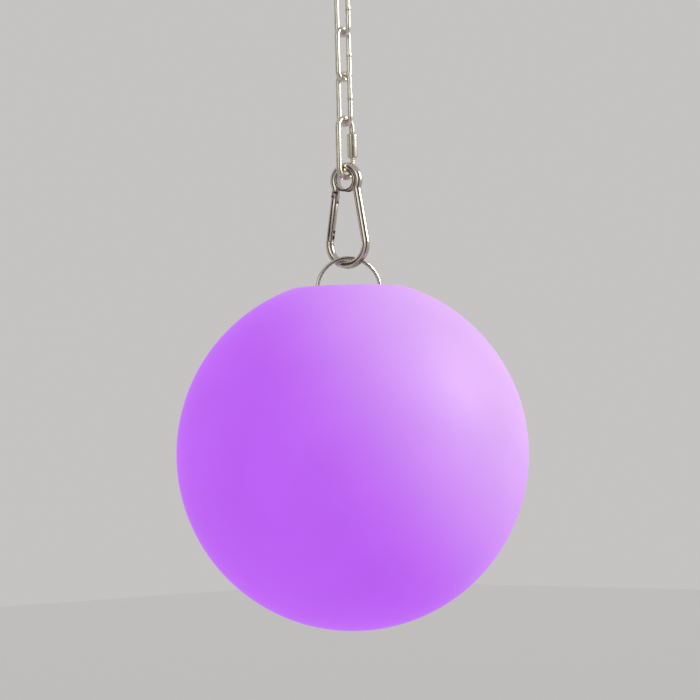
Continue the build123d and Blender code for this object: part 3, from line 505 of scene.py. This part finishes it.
def ring_of(editor, centre, first, second, radius, sides):
    """A ring of points in the plane of two directions."""
    angles = [2 * math.pi * k / sides for k in range(sides)]
    return [editor.verts.new(centre + (first * math.cos(a) + second * math.sin(a)) * radius)
            for a in angles]


def join_rings(editor, one, two):
    for k in range(len(one)):
        editor.faces.new((one[k - 1], one[k], two[k], two[k - 1]))


def close_ring(editor, ring, point):
    tip = editor.verts.new(point)
    for k in range(len(ring)):
        editor.faces.new((ring[k - 1], ring[k], tip))


def swept_wire(path, radius, normal, sides=28, end="flat"):
    """A round wire along a flat path. Its ends are flat with a softened edge; the last may be round."""
    editor = bmesh.new()
    soft = min(radius * 0.25, 0.35 * MM)
    last = len(path) - 1
    heading = [(path[min(i + 1, last)] - path[max(i - 1, 0)]).normalized() for i in range(last + 1)]
    rings = []
    for way, kind, index in ((-1, "flat", 0), (1, end, last)):
        side = heading[index].cross(normal)
        cap = []
        steps = 7 if kind == "round" else 4
        size = radius if kind == "round" else soft
        for step in range(steps):
            angle = math.pi / 2 * step / (steps if kind == "round" else steps - 1)
            ahead = heading[index] * (way * size * math.sin(angle))
            if kind == "flat":
                ahead -= heading[index] * (way * soft)
            cap.append((path[index] + ahead, side, radius - size + size * math.cos(angle)))
        tip = path[index] + (heading[index] * way * radius if kind == "round" else Vector())
        rings.append((cap, tip))
    sections = list(reversed(rings[0][0]))
    sections += [(path[i], heading[i].cross(normal), radius) for i in range(1, last)]
    sections += rings[1][0]
    made = [ring_of(editor, centre, side, normal, size, sides) for centre, side, size in sections]
    for one, two in zip(made, made[1:]):
        join_rings(editor, one, two)
    close_ring(editor, made[0], rings[0][1])
    close_ring(editor, made[-1], rings[1][1])
    bmesh.ops.recalc_face_normals(editor, faces=editor.faces)
    return editor


def turned(profile, segments, place=Matrix(), closed=False):
    """A turned form from (radius, height) pairs. An end on the axis becomes a closed pole."""
    editor = bmesh.new()
    rings = [ring_of(editor, UP * height, ALONG_X, ALONG_Y, radius, segments)
             for radius, height in profile if radius > ON_AXIS]
    for one, two in zip(rings, rings[1:] + (rings[:1] if closed else [])):
        join_rings(editor, one, two)
    for (radius, height), ring in ((profile[0], rings[0]), (profile[-1], rings[-1])):
        if radius <= ON_AXIS:
            close_ring(editor, ring, UP * height)
    bmesh.ops.recalc_face_normals(editor, faces=editor.faces)
    bmesh.ops.transform(editor, matrix=place, verts=editor.verts)
    return editor


def worked_copy(node, edge, slot, body):
    """A copy of a CAD node whose sharp edges are softened as handled metal or a moulding is."""
    mesh = frame["nodes"][node].data.copy()
    merge, flat = 0.002 * MM, math.radians(0.4)
    editor = bmesh.new()
    editor.from_mesh(mesh)
    bmesh.ops.remove_doubles(editor, verts=editor.verts, dist=merge)
    bmesh.ops.dissolve_limit(editor, angle_limit=flat, verts=editor.verts, edges=editor.edges)
    sharp = [e for e in editor.edges
             if len(e.link_faces) == 2 and e.calc_face_angle(0) > math.radians(WORKED_ABOVE)]
    bmesh.ops.bevel(editor, geom=sharp, offset=edge, offset_type="OFFSET", segments=2,
                    profile=0.5, affect="EDGES", clamp_overlap=True)
    bmesh.ops.triangulate(editor, faces=[f for f in editor.faces if len(f.verts) > 4])
    bmesh.ops.remove_doubles(editor, verts=editor.verts, dist=merge / 2)
    bpy.data.meshes.remove(mesh)
    piece = new_piece(node + "_piece", editor, slot, WORKED_ABOVE)
    return settle(piece, body, slot, node)


# ---------------------------------------------------------------- Geometry Nodes making
class Recipe(Nodes):
    """A Geometry Nodes tree with named inputs, ended by Realize Instances and Set Material."""

    KINDS = {"Float": "NodeSocketFloat", "Int": "NodeSocketInt", "Vector": "NodeSocketVector",
             "Object": "NodeSocketObject", "Material": "NodeSocketMaterial"}

    def __init__(self, name, sizes):
        self.tree = bpy.data.node_groups.new(name, "GeometryNodeTree")
        super().__init__(self.tree)
        self.tree.interface.new_socket("Geometry", in_out="OUTPUT", socket_type="NodeSocketGeometry")
        self.identifiers = {}
        ends = {"Place": "Vector", "Turn": "Vector", "Material": "Material"}
        for size, kind in {**sizes, **ends}.items():
            socket = self.tree.interface.new_socket(size, in_out="INPUT", socket_type=self.KINDS[kind])
            self.identifiers[size] = socket.identifier
        self.entry = self.nodes.new("NodeGroupInput")

    def size(self, name):
        return self.entry.outputs[name]

    def finish(self, geometry):
        placed = self.node("GeometryNodeTransform", {
            "Geometry": geometry, "Rotation": self.size("Turn"), "Translation": self.size("Place")})
        whole = self.node("GeometryNodeRealizeInstances", {"Geometry": placed.outputs[0]})
        coated = self.node("GeometryNodeSetMaterial",
                           {"Geometry": whole.outputs[0], "Material": self.size("Material")})
        leave = self.nodes.new("NodeGroupOutput")
        self.links.new(coated.outputs[0], leave.inputs[0])

    def make(self, name, slot, **values):
        """Run the recipe and keep its result as a plain mesh."""
        holder = bpy.data.objects.new(name + "_maker", bpy.data.meshes.new(name + "_maker"))
        bpy.context.scene.collection.objects.link(holder)
        modifier = holder.modifiers.new("recipe", "NODES")
        modifier.node_group = self.tree
        for key, value in values.items():
            modifier[self.identifiers[key.replace("_", " ")]] = value
        modifier[self.identifiers["Material"]] = finish(slot)
        bpy.context.view_layer.update()
        evaluated = holder.evaluated_get(bpy.context.evaluated_depsgraph_get())
        mesh = bpy.data.meshes.new_from_object(evaluated)
        empty = holder.data
        bpy.data.objects.remove(holder)
        bpy.data.meshes.remove(empty)
        if not len(mesh.polygons):
            raise RuntimeError(f"the recipe for {name} made nothing")
        mesh.name = name
        return mesh_piece(name, mesh, slot)


def chain_link_recipe():
    """One link: an oval of wire, swollen and slightly rough at its weld."""
    recipe = Recipe("chain_link", {
        "Length": "Float", "Width": "Float", "Wire": "Float", "Weld bulge": "Float"})
    weld_edge, weld_top, lumps_per_metre = 1.4 * MM, 0.3 * MM, 1400.0
    wire = recipe.size("Wire")
    across = recipe.sum("SUBTRACT", recipe.size("Width"), wire)
    oval = recipe.node("GeometryNodeCurvePrimitiveQuadrilateral", {
        "Width": across, "Height": recipe.sum("SUBTRACT", recipe.size("Length"), wire)})
    rounded = recipe.node("GeometryNodeFilletCurve", {
        "Curve": oval.outputs[0], "Radius": recipe.sum("MULTIPLY", across, 0.4999), "Count": 24},
        mode="POLY")
    even = recipe.node("GeometryNodeResampleCurve", {"Curve": rounded.outputs[0], "Count": 170})
    section = recipe.node("GeometryNodeCurvePrimitiveCircle", {
        "Resolution": 28, "Radius": recipe.sum("MULTIPLY", wire, 0.5)})
    bar = recipe.node("GeometryNodeCurveToMesh", {
        "Curve": even.outputs[0], "Profile Curve": section.outputs[0]})
    place = recipe.node("ShaderNodeSeparateXYZ", {
        "Vector": recipe.node("GeometryNodeInputPosition").outputs[0]})
    near = recipe.node("ShaderNodeMapRange", {
        "Value": recipe.sum("ABSOLUTE", place.outputs["Y"]), "From Min": weld_edge,
        "From Max": weld_top, "To Min": 0.0, "To Max": 1.0}, interpolation_type="SMOOTHSTEP")
    on_leg = recipe.sum("GREATER_THAN", place.outputs["X"], 0.0)
    lumps = recipe.node("ShaderNodeTexNoise", {"Scale": lumps_per_metre, "Detail": 1.0})
    rough = recipe.sum("ADD", 0.75, recipe.sum("MULTIPLY", lumps.outputs["Fac"], 0.5))
    swell = recipe.sum("MULTIPLY", recipe.sum("MULTIPLY", near.outputs["Result"], on_leg), rough)
    step = recipe.node("ShaderNodeVectorMath", {
        0: recipe.node("GeometryNodeInputNormal").outputs[0],
        "Scale": recipe.sum("MULTIPLY", swell, recipe.size("Weld bulge"))}, operation="SCALE")
    welded = recipe.node("GeometryNodeSetPosition", {
        "Geometry": bar.outputs[0], "Offset": step.outputs[0]})
    stood = recipe.node("GeometryNodeTransform", {
        "Geometry": welded.outputs[0], "Rotation": (math.pi / 2, 0, 0)})
    recipe.finish(stood.outputs[0])
    return recipe


def coil_recipe(name, core):
    """A round wire wound up an upright axis, as a spring, or as a thread's ridge round its core."""
    recipe = Recipe(name, {"Radius": "Float", "Height": "Float", "Turns": "Float", "Wire": "Float"})
    helix = recipe.node("GeometryNodeCurveSpiral", {
        "Resolution": 28, "Rotations": recipe.size("Turns"), "Start Radius": recipe.size("Radius"),
        "End Radius": recipe.size("Radius"), "Height": recipe.size("Height")})
    section = recipe.node("GeometryNodeCurvePrimitiveCircle", {
        "Resolution": 8, "Radius": recipe.sum("MULTIPLY", recipe.size("Wire"), 0.5)})
    wound = recipe.node("GeometryNodeCurveToMesh", {
        "Curve": helix.outputs[0], "Profile Curve": section.outputs[0], "Fill Caps": True})
    parts = recipe.node("GeometryNodeJoinGeometry")
    recipe.links.new(wound.outputs[0], parts.inputs[0])
    if core:
        long = recipe.node("GeometryNodeMeshCylinder", {
            "Vertices": 32, "Radius": recipe.size("Radius"), "Depth": recipe.size("Height")})
        lift = recipe.node("ShaderNodeCombineXYZ", {
            "Z": recipe.sum("MULTIPLY", recipe.size("Height"), 0.5)})
        raised = recipe.node("GeometryNodeTransform", {
            "Geometry": long.outputs[0], "Translation": lift.outputs[0]})
        recipe.links.new(raised.outputs[0], parts.inputs[0])
    recipe.finish(parts.outputs[0])
    return recipe


def ring_of_screws_recipe():
    """Copies of one screw on a circle."""
    recipe = Recipe("ring_of_screws", {"Screw": "Object", "Count": "Int", "Circle": "Float"})
    circle = recipe.node("GeometryNodeMeshCircle", {
        "Vertices": recipe.size("Count"), "Radius": recipe.size("Circle")})
    pattern = recipe.node("GeometryNodeObjectInfo", {"Object": recipe.size("Screw")})
    turns = recipe.node("FunctionNodeRandomValue", {0: (0, 0, 0), 1: (0, 0, 1.5), "Seed": 4},
                        data_type="FLOAT_VECTOR")
    copies = recipe.node("GeometryNodeInstanceOnPoints", {
        "Points": circle.outputs[0], "Instance": pattern.outputs["Geometry"],
        "Rotation": turns.outputs[0]})
    recipe.finish(copies.outputs[0])
    return recipe


# ---------------------------------------------------------------- the pieces
class GLOBELIGHT_OT_fitting(bpy.types.Operator):
    """Make the ceiling plate and the hook welded to it"""
    bl_idname = "globe_light.fitting"
    bl_label = "Ceiling fitting"

    def execute(self, context):
        wanted = settings().fitting
        worked_copy("ceiling_plate", 0.25 * MM, "zinc_plate", "ceiling_fitting")
        reach = wanted.hook_radius + wanted.neck_radius
        middle = -wanted.hook_depth
        neck_z = middle + math.sqrt(reach**2 - wanted.neck_radius**2)
        join = math.degrees(math.acos(wanted.neck_radius / reach))
        route = [(0, -wanted.plate_thickness + 0.4 * MM)]
        route += arc((wanted.neck_radius, neck_z), wanted.neck_radius, 180, 180 + join, 14)
        route += arc((0, middle), wanted.hook_radius, join, -210, 70)[1:]
        wire = swept_wire(in_plane(route, ALONG_Y), wanted.hook_wire / 2, ALONG_X, end="round")
        hook = new_piece("ceiling_hook_piece", wire, "zinc_plate")
        settle(hook, "ceiling_fitting", "zinc_plate", "ceiling_hook")
        self.weld_bead(wanted)
        return {"FINISHED"}

    def weld_bead(self, wanted):
        """The bead round the hook's stem, with the ripples of a hand weld."""
        foot, high, reach = -wanted.plate_thickness, wanted.weld_height, wanted.weld_reach
        sunk = 0.3 * MM
        inner = wanted.hook_wire / 2 - sunk
        outer = inner + reach + sunk
        profile = [(inner, foot + 0.1 * MM), (outer, foot + 0.1 * MM), (outer, foot - 0.2 * MM),
                   (inner + reach * 0.8, foot - high * 0.45),
                   (inner + reach * 0.5, foot - high * 0.75), (inner + sunk, foot - high),
                   (inner, foot - high)]
        bead = turned(profile, 96, closed=True)
        for vertex in bead.verts:
            out = math.hypot(vertex.co.x, vertex.co.y)
            if out > inner + 0.2 * MM and vertex.co.z < foot:
                ripple = 1 - 0.05 * (1 + math.sin(16 * math.atan2(vertex.co.y, vertex.co.x)))
                vertex.co.x *= ripple
                vertex.co.y *= ripple
        settle(new_piece("weld_bead", bead, "zinc_plate"), "ceiling_fitting", "zinc_plate")


class GLOBELIGHT_OT_chain(bpy.types.Operator):
    """Make the three chain links"""
    bl_idname = "globe_light.chain"
    bl_label = "Chain"

    def execute(self, context):
        wanted = settings().chain
        recipe = chain_link_recipe()
        for number, turn in ((1, 0.0), (2, math.pi / 2), (3, 0.0)):
            node = f"chain_link_{number}"
            place = UP * middle_of(node).z
            link = recipe.make(
                node + "_piece", "chain_zinc", Length=wanted.link_length, Width=wanted.link_width,
                Wire=wanted.wire, Weld_bulge=wanted.weld_bulge, Place=place, Turn=Vector((0, 0, turn)))
            settle(link, f"link_{number}", "chain_zinc", node)
        return {"FINISHED"}


class GLOBELIGHT_OT_quick_link(bpy.types.Operator):
    """Make the quick link: its bent wire, its threaded studs and its sleeve nut"""
    bl_idname = "globe_light.quick_link"
    bl_label = "Quick link"

    def execute(self, context):
        wanted = settings().chain
        low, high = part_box("quick_link_body")
        middle = (low + high) / 2
        radius = wanted.quick_wire / 2
        leg = (high.y - low.y) / 2 - radius
        straight = (high.z - low.z) / 2 - radius - leg
        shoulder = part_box("quick_link_sleeve")[1].z - middle.z + 0.1 * MM
        route = [(leg, shoulder), (leg, (shoulder + straight) / 2)]
        route += arc((0, straight), leg, 0, 180, 40)
        route += arc((0, -straight), leg, 180, 360, 40)
        place = Matrix.Translation((0, 0, middle.z))
        wire = swept_wire(in_plane(route, ALONG_Y, place), radius, ALONG_X, sides=32)
        body = new_piece("quick_link_wire", wire, "zinc_link")
        settle(body, "quick_link", "zinc_link", "quick_link_body")
        self.studs(wanted, leg, middle.z, shoulder, straight)
        worked_copy("quick_link_sleeve", 0.16 * MM, "zinc_link", "link_sleeve")
        return {"FINISHED"}

    def studs(self, wanted, leg, middle_z, shoulder, straight):
        """The threads at both free ends, each ridge as high as the stud is thick."""
        recipe = coil_recipe("thread", core=True)
        for name, low, high in (("upper", wanted.upper_stud_foot, shoulder),
                                ("lower", -straight, wanted.lower_stud_tip)):
            stud = recipe.make(
                f"quick_link_{name}_thread", "zinc_link", Radius=(wanted.stud - wanted.ridge) / 2,
                Height=high - low, Turns=(high - low) / wanted.pitch, Wire=wanted.ridge,
                Place=Vector((0, leg, middle_z + low)), Turn=Vector())
            settle(stud, "quick_link", "zinc_link")


class GLOBELIGHT_OT_snap_hook(bpy.types.Operator):
    """Make the snap hook: its body, thimble, gate, rivet, latch pin and spring"""
    bl_idname = "globe_light.snap_hook"
    bl_label = "Snap hook"

    def execute(self, context):
        wanted = settings().hook
        edge = wanted.edge
        worked_copy("snap_hook_body", edge, "polished_steel", "snap_hook")
        worked_copy("snap_hook_thimble", edge, "polished_steel", "snap_hook")
        worked_copy("gate_hinge_rivet", edge, "polished_steel", "snap_hook")
        worked_copy("snap_hook_gate", edge * 0.8, "polished_steel", "hook_gate")
        worked_copy("gate_latch_pin", edge, "polished_steel", "hook_gate")
        travel = joint_of("plunger_travel")
        down = Vector(travel["axis"])
        wire, outer = wanted.spring_wire, wanted.spring_radius
        tilt = math.sqrt(1 - down.z**2)
        span = (size_of("gate_spring").z - 2 * outer * tilt) / abs(down.z) - wire
        foot = middle_of("gate_spring") + down * span / 2
        spring = coil_recipe("spring", core=False).make(
            "gate_spring_coil", "spring_steel", Radius=outer - wire / 2, Height=span, Turns=5.5,
            Wire=wire, Place=foot, Turn=Vector((-down).to_track_quat("Z", "Y").to_euler()))
        settle(spring, "hook_gate", "spring_steel", "gate_spring")
        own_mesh(spring)
        return {"FINISHED"}


class GLOBELIGHT_OT_bail(bpy.types.Operator):
    """Make the wire bail that the globe hangs by"""
    bl_idname = "globe_light.bail"
    bl_label = "Bail"

    def execute(self, context):
        wanted = settings().hook
        leg, low, bend = wanted.bail_radius, -wanted.pin_depth, wanted.bend
        route = [(-wanted.pin_reach, low)]
        route += arc((-leg - bend, low + bend), bend, -90, 0, 10)
        route += arc((0, -wanted.bail_depth), leg, 180, 0, 64)
        route += arc((leg + bend, low + bend), bend, 180, 270, 10)
        route += [(wanted.pin_reach, low)]
        normal = rim_place.to_3x3() @ ALONG_Y
        wire = swept_wire(in_plane(route, ALONG_X, rim_place), wanted.bail_wire / 2, normal)
        bail = new_piece("bail_wire", wire, "stainless_wire")
        settle(bail, "hanging_bail", "stainless_wire", "bail")
        return {"FINISHED"}


class GLOBELIGHT_OT_globe(bpy.types.Operator):
    """Make the lit globe with its flat, mouth and lip"""
    bl_idname = "globe_light.globe"
    bl_label = "Globe"

    def execute(self, context):
        wanted = settings().globe
        centre = globe_low_z + globe_radius - rim_z
        tip = wanted.rim_round
        round_reach = math.sqrt((globe_radius - tip)**2 - (centre + tip)**2)
        meets = math.degrees(math.atan2(-tip - centre, round_reach))
        inner = globe_radius - wanted.wall
        inner_top = math.degrees(math.asin((-wanted.flat_wall - centre) / inner))
        profile = arc((0, centre), globe_radius, -90, meets, 150)
        profile += arc((round_reach, -tip), tip, meets, 90, 10)[1:]
        profile += [(wanted.seat_radius + 0.25 * MM, 0), (wanted.seat_radius, -0.2 * MM),
                    (wanted.seat_radius, -wanted.seat_depth),
                    (wanted.mouth_radius, -wanted.seat_depth),
                    (wanted.mouth_radius, -wanted.lip_depth),
                    (wanted.lip_radius, -wanted.lip_depth), (wanted.lip_radius, -wanted.flat_wall)]
        profile += arc((0, centre), inner, inner_top, -90, 110)
        profile[0], profile[-1] = (0, profile[0][1]), (0, profile[-1][1])
        shell = turned(profile, wanted.segments, rim_place)
        settle(new_piece("globe", shell, "lit_globe"), "globe", "lit_globe", "globe_shell")
        return {"FINISHED"}


class GLOBELIGHT_OT_base(bpy.types.Operator):
    """Make the base plate and what shows in its pocket"""
    bl_idname = "globe_light.base"
    bl_label = "Base plate"

    def execute(self, context):
        wanted = settings().base
        worked_copy("base_plate", wanted.plate_edge, "base_white", "globe")
        worked_copy("power_button", wanted.button_edge, "button_silicone", "button")
        worked_copy("port_plug", wanted.plate_edge, "button_silicone", "bung")
        screw = self.screw(wanted)
        ring = ring_of_screws_recipe().make(
            "rim_screws_piece", "screw_steel", Screw=screw, Count=4, Circle=wanted.screw_circle,
            Place=UP * rim_z, Turn=UP * (bail_turn + math.radians(45)))
        bpy.data.objects.remove(screw)
        settle(ring, "globe", "screw_steel", "rim_screws")
        return {"FINISHED"}

    def screw(self, wanted):
        """A countersunk screw with a cross recess, its head flush with z = 0."""
        head, shank, point, half_pitch = wanted.head, wanted.shank, wanted.screw_length, 0.3 * MM
        profile = [(0, 0), (head - 0.12 * MM, 0), (head, -0.12 * MM), (head, -0.2 * MM),
                   (shank, -wanted.head_depth)]
        turn = 0
        while profile[-1][1] > -point + 1.3 * MM:
            turn += 1
            profile.append((shank * (0.82 if turn % 2 else 1), profile[-1][1] - half_pitch))
        profile.append((0, -point))
        body = new_piece("screw_pattern", turned(profile, 40), "screw_steel")
        cross = (2.5 * MM, 0.5 * MM, 1.6 * MM)
        cut = bmesh.new()
        for angle in (0, 90):
            made = bmesh.ops.create_cube(cut, size=1)["verts"]
            bmesh.ops.scale(cut, vec=cross, verts=made)
            bmesh.ops.rotate(cut, matrix=Matrix.Rotation(math.radians(angle), 3, "Z"), verts=made)
        tool = new_piece("recess_pattern", cut, "screw_steel")
        modifier = body.modifiers.new("recess", "BOOLEAN")
        modifier.operation, modifier.object, modifier.solver = "DIFFERENCE", tool, "EXACT"
        modifier.use_self = True
        bpy.context.view_layer.update()
        mesh = bpy.data.meshes.new_from_object(
            body.evaluated_get(bpy.context.evaluated_depsgraph_get()))
        body.modifiers.clear()
        body.data = mesh
        bpy.data.objects.remove(tool)
        return body


class GLOBELIGHT_OT_inside(bpy.types.Operator):
    """Give every CAD node that stays its finish"""
    bl_idname = "globe_light.inside"
    bl_label = "Sealed pieces"

    def execute(self, context):
        slots = {part["node"]: part["material_slot"] for part in frame["record"]["subparts"]}
        for name, node in frame["nodes"].items():
            if node.hide_render:
                continue
            node.data.materials.clear()
            node.data.materials.append(finish(slots[name]))
            for polygon in node.data.polygons:
                polygon.material_index = 0
        return {"FINISHED"}


def facing(place, target, way):
    """A place turned so that its given axis points at the target."""
    turn = (target - place).to_track_quat(way, "Y")
    return Matrix.Translation(place) @ turn.to_matrix().to_4x4()


class GLOBELIGHT_OT_stage(bpy.types.Operator):
    """Make the floor, the light and the camera"""
    bl_idname = "globe_light.stage"
    bl_label = "Stage"

    # directions, as shares to the camera's right, up and towards the camera
    key_way = (0.86, 0.5, 0.14)
    fill_way = (-0.45, 0.35, 0.9)
    card_ways = ((0.3, 0, 0.75), (-0.8, 0, 0.4))

    def execute(self, context):
        wanted = settings().stage
        globe_centre = UP * (globe_low_z + globe_radius)
        azimuth = math.radians(45)
        right = Vector((math.cos(azimuth), math.sin(azimuth), 0))
        towards = Vector((math.sin(azimuth), -math.cos(azimuth), 0))

        def way(shares):
            return right * shares[0] + UP * shares[1] + towards * shares[2]

        self.floor(context, wanted)
        self.world(context, wanted)
        key = globe_centre + way(self.key_way).normalized() * wanted.key_distance
        self.lamp(context, "key", key, globe_centre, wanted.key_size, wanted.key_power)
        fill = globe_centre + way(self.fill_way).normalized() * wanted.fill_distance
        self.lamp(context, "fill", fill, globe_centre, wanted.fill_size, wanted.fill_power)
        hook = middle_of("snap_hook_body")
        for number, shares in enumerate(self.card_ways):
            self.dark_card(context, number, hook + way(shares) * wanted.card_distance, hook)
        self.camera(context, globe_centre, right, towards)
        return {"FINISHED"}

    def floor(self, context, wanted):
        drop = (0, 0, -wanted.floor_drop)
        bpy.ops.mesh.primitive_plane_add(size=wanted.floor_size, location=drop)
        floor = context.object
        floor.name = "floor"
        shading = Shading("floor")
        clouds = shading.noise(shading.place(), 1.5, 2)
        tone = tuple(wanted.floor_colour)
        shading.set(Base_Color=shading.blend(clouds, tone, shaded(tone, 0.98)), Roughness=0.8,
                    Emission_Color=(*wanted.backdrop, 1),
                    Emission_Strength=shading.sum("MULTIPLY", seen_rays(shading), wanted.floor_lift))
        floor.data.materials.append(shading.material)

    def world(self, context, wanted):
        """Soft light from all round; the eye, metal and clear pieces see the pale backdrop."""
        world = bpy.data.worlds.new("studio")
        world.use_nodes = True
        context.scene.world = world
        shading = Shading("studio", world)
        soft = shading.nodes["Background"]
        soft.inputs["Color"].default_value = (1, 1, 1, 1)
        soft.inputs["Strength"].default_value = wanted.ambient
        seen = shading.node("ShaderNodeBackground", {"Color": (*wanted.backdrop, 1)})
        mix = shading.node("ShaderNodeMixShader", {
            0: seen_rays(shading), 1: soft.outputs[0], 2: seen.outputs[0]})
        shading.links.new(mix.outputs[0], shading.nodes["World Output"].inputs[0])

    def lamp(self, context, name, place, target, size, power):
        light = bpy.data.lights.new(name, "AREA")
        light.shape, light.size, light.energy = "DISK", size, power
        lamp = bpy.data.objects.new(name, light)
        lamp.matrix_world = facing(place, target, "-Z")
        context.scene.collection.objects.link(lamp)

    def dark_card(self, context, number, place, target):
        """A dark card that only polished metal sees, as a studio sets beside bright pieces."""
        width, height = 0.3, 1.1
        editor = bmesh.new()
        bmesh.ops.create_grid(editor, x_segments=1, y_segments=1, size=0.5)
        bmesh.ops.scale(editor, vec=(width, height, 1), verts=editor.verts)
        face_in = facing(place, target, "Z")
        bmesh.ops.transform(editor, matrix=face_in, verts=editor.verts)
        mesh = bpy.data.meshes.new(f"dark_card_{number}")
        editor.to_mesh(mesh)
        editor.free()
        card = bpy.data.objects.new(f"dark_card_{number}", mesh)
        context.scene.collection.objects.link(card)
        shading = Shading(f"dark_card_{number}")
        shading.set(Base_Color=(0.02, 0.02, 0.02, 1), Roughness=0.9)
        mesh.materials.append(shading.material)
        card.visible_camera = card.visible_diffuse = card.visible_shadow = False
        card.visible_transmission = False

    def camera(self, context, globe_centre, right, towards):
        """The photograph's view: the globe's middle right of and below the picture's middle."""
        distance, focal_pixels, picture = 1.5, 2637, 700
        globe_right, globe_below = 2.7 / focal_pixels, 104.2 / focal_pixels
        roll = math.radians(-1.35)
        across = right * math.cos(roll) + UP * math.sin(roll)
        over = UP * math.cos(roll) - right * math.sin(roll)
        ahead = (-towards - across * globe_right + over * globe_below).normalized()
        over = (over - ahead * over.dot(ahead)).normalized()
        across = ahead.cross(over)
        data = bpy.data.cameras.new("camera")
        data.sensor_width = 36
        data.lens = focal_pixels / picture * data.sensor_width
        camera = bpy.data.objects.new("camera", data)
        axes = Matrix((across, over, -ahead)).transposed().to_4x4()
        camera.matrix_world = Matrix.Translation(globe_centre + towards * distance) @ axes
        context.scene.collection.objects.link(camera)
        context.scene.camera = camera


class GLOBELIGHT_PT_panel(bpy.types.Panel):
    """Lists the sizes, the colours and the steps that make the light"""
    bl_idname = "GLOBELIGHT_PT_panel"
    bl_label = "Globe light"
    bl_space_type = "VIEW_3D"
    bl_region_type = "UI"
    bl_category = "Globe light"

    def draw(self, context):
        layout = self.layout
        for step in STEPS:
            layout.operator(step.bl_idname)
        for name in ("globe", "chain", "hook", "fitting", "base", "stage"):
            box = layout.box()
            values = getattr(context.scene.globe_light, name)
            for value in values.__annotations__:
                box.prop(values, value)


GROUPS = (GlobeSettings, ChainSettings, HookSettings, FittingSettings, BaseSettings, StageSettings,
          GlobeLightSettings)
STEPS = (GLOBELIGHT_OT_fitting, GLOBELIGHT_OT_chain, GLOBELIGHT_OT_quick_link, GLOBELIGHT_OT_snap_hook,
         GLOBELIGHT_OT_bail, GLOBELIGHT_OT_globe, GLOBELIGHT_OT_base, GLOBELIGHT_OT_inside,
         GLOBELIGHT_OT_stage)
CLASSES = (*GROUPS, *STEPS, GLOBELIGHT_PT_panel)


def register():
    for made in CLASSES:
        bpy.utils.register_class(made)
    bpy.types.Scene.globe_light = group(
        GlobeLightSettings, "Globe light", "Sizes and colours of the globe light")


def unregister():
    del bpy.types.Scene.globe_light
    for made in reversed(CLASSES):
        bpy.utils.unregister_class(made)


def main():
    register()
    for step in STEPS:
        library, name = step.bl_idname.split(".")
        getattr(getattr(bpy.ops, library), name)()
    bpy.context.scene.view_settings.view_transform = "Standard"


if __name__ == "__main__":
    main()
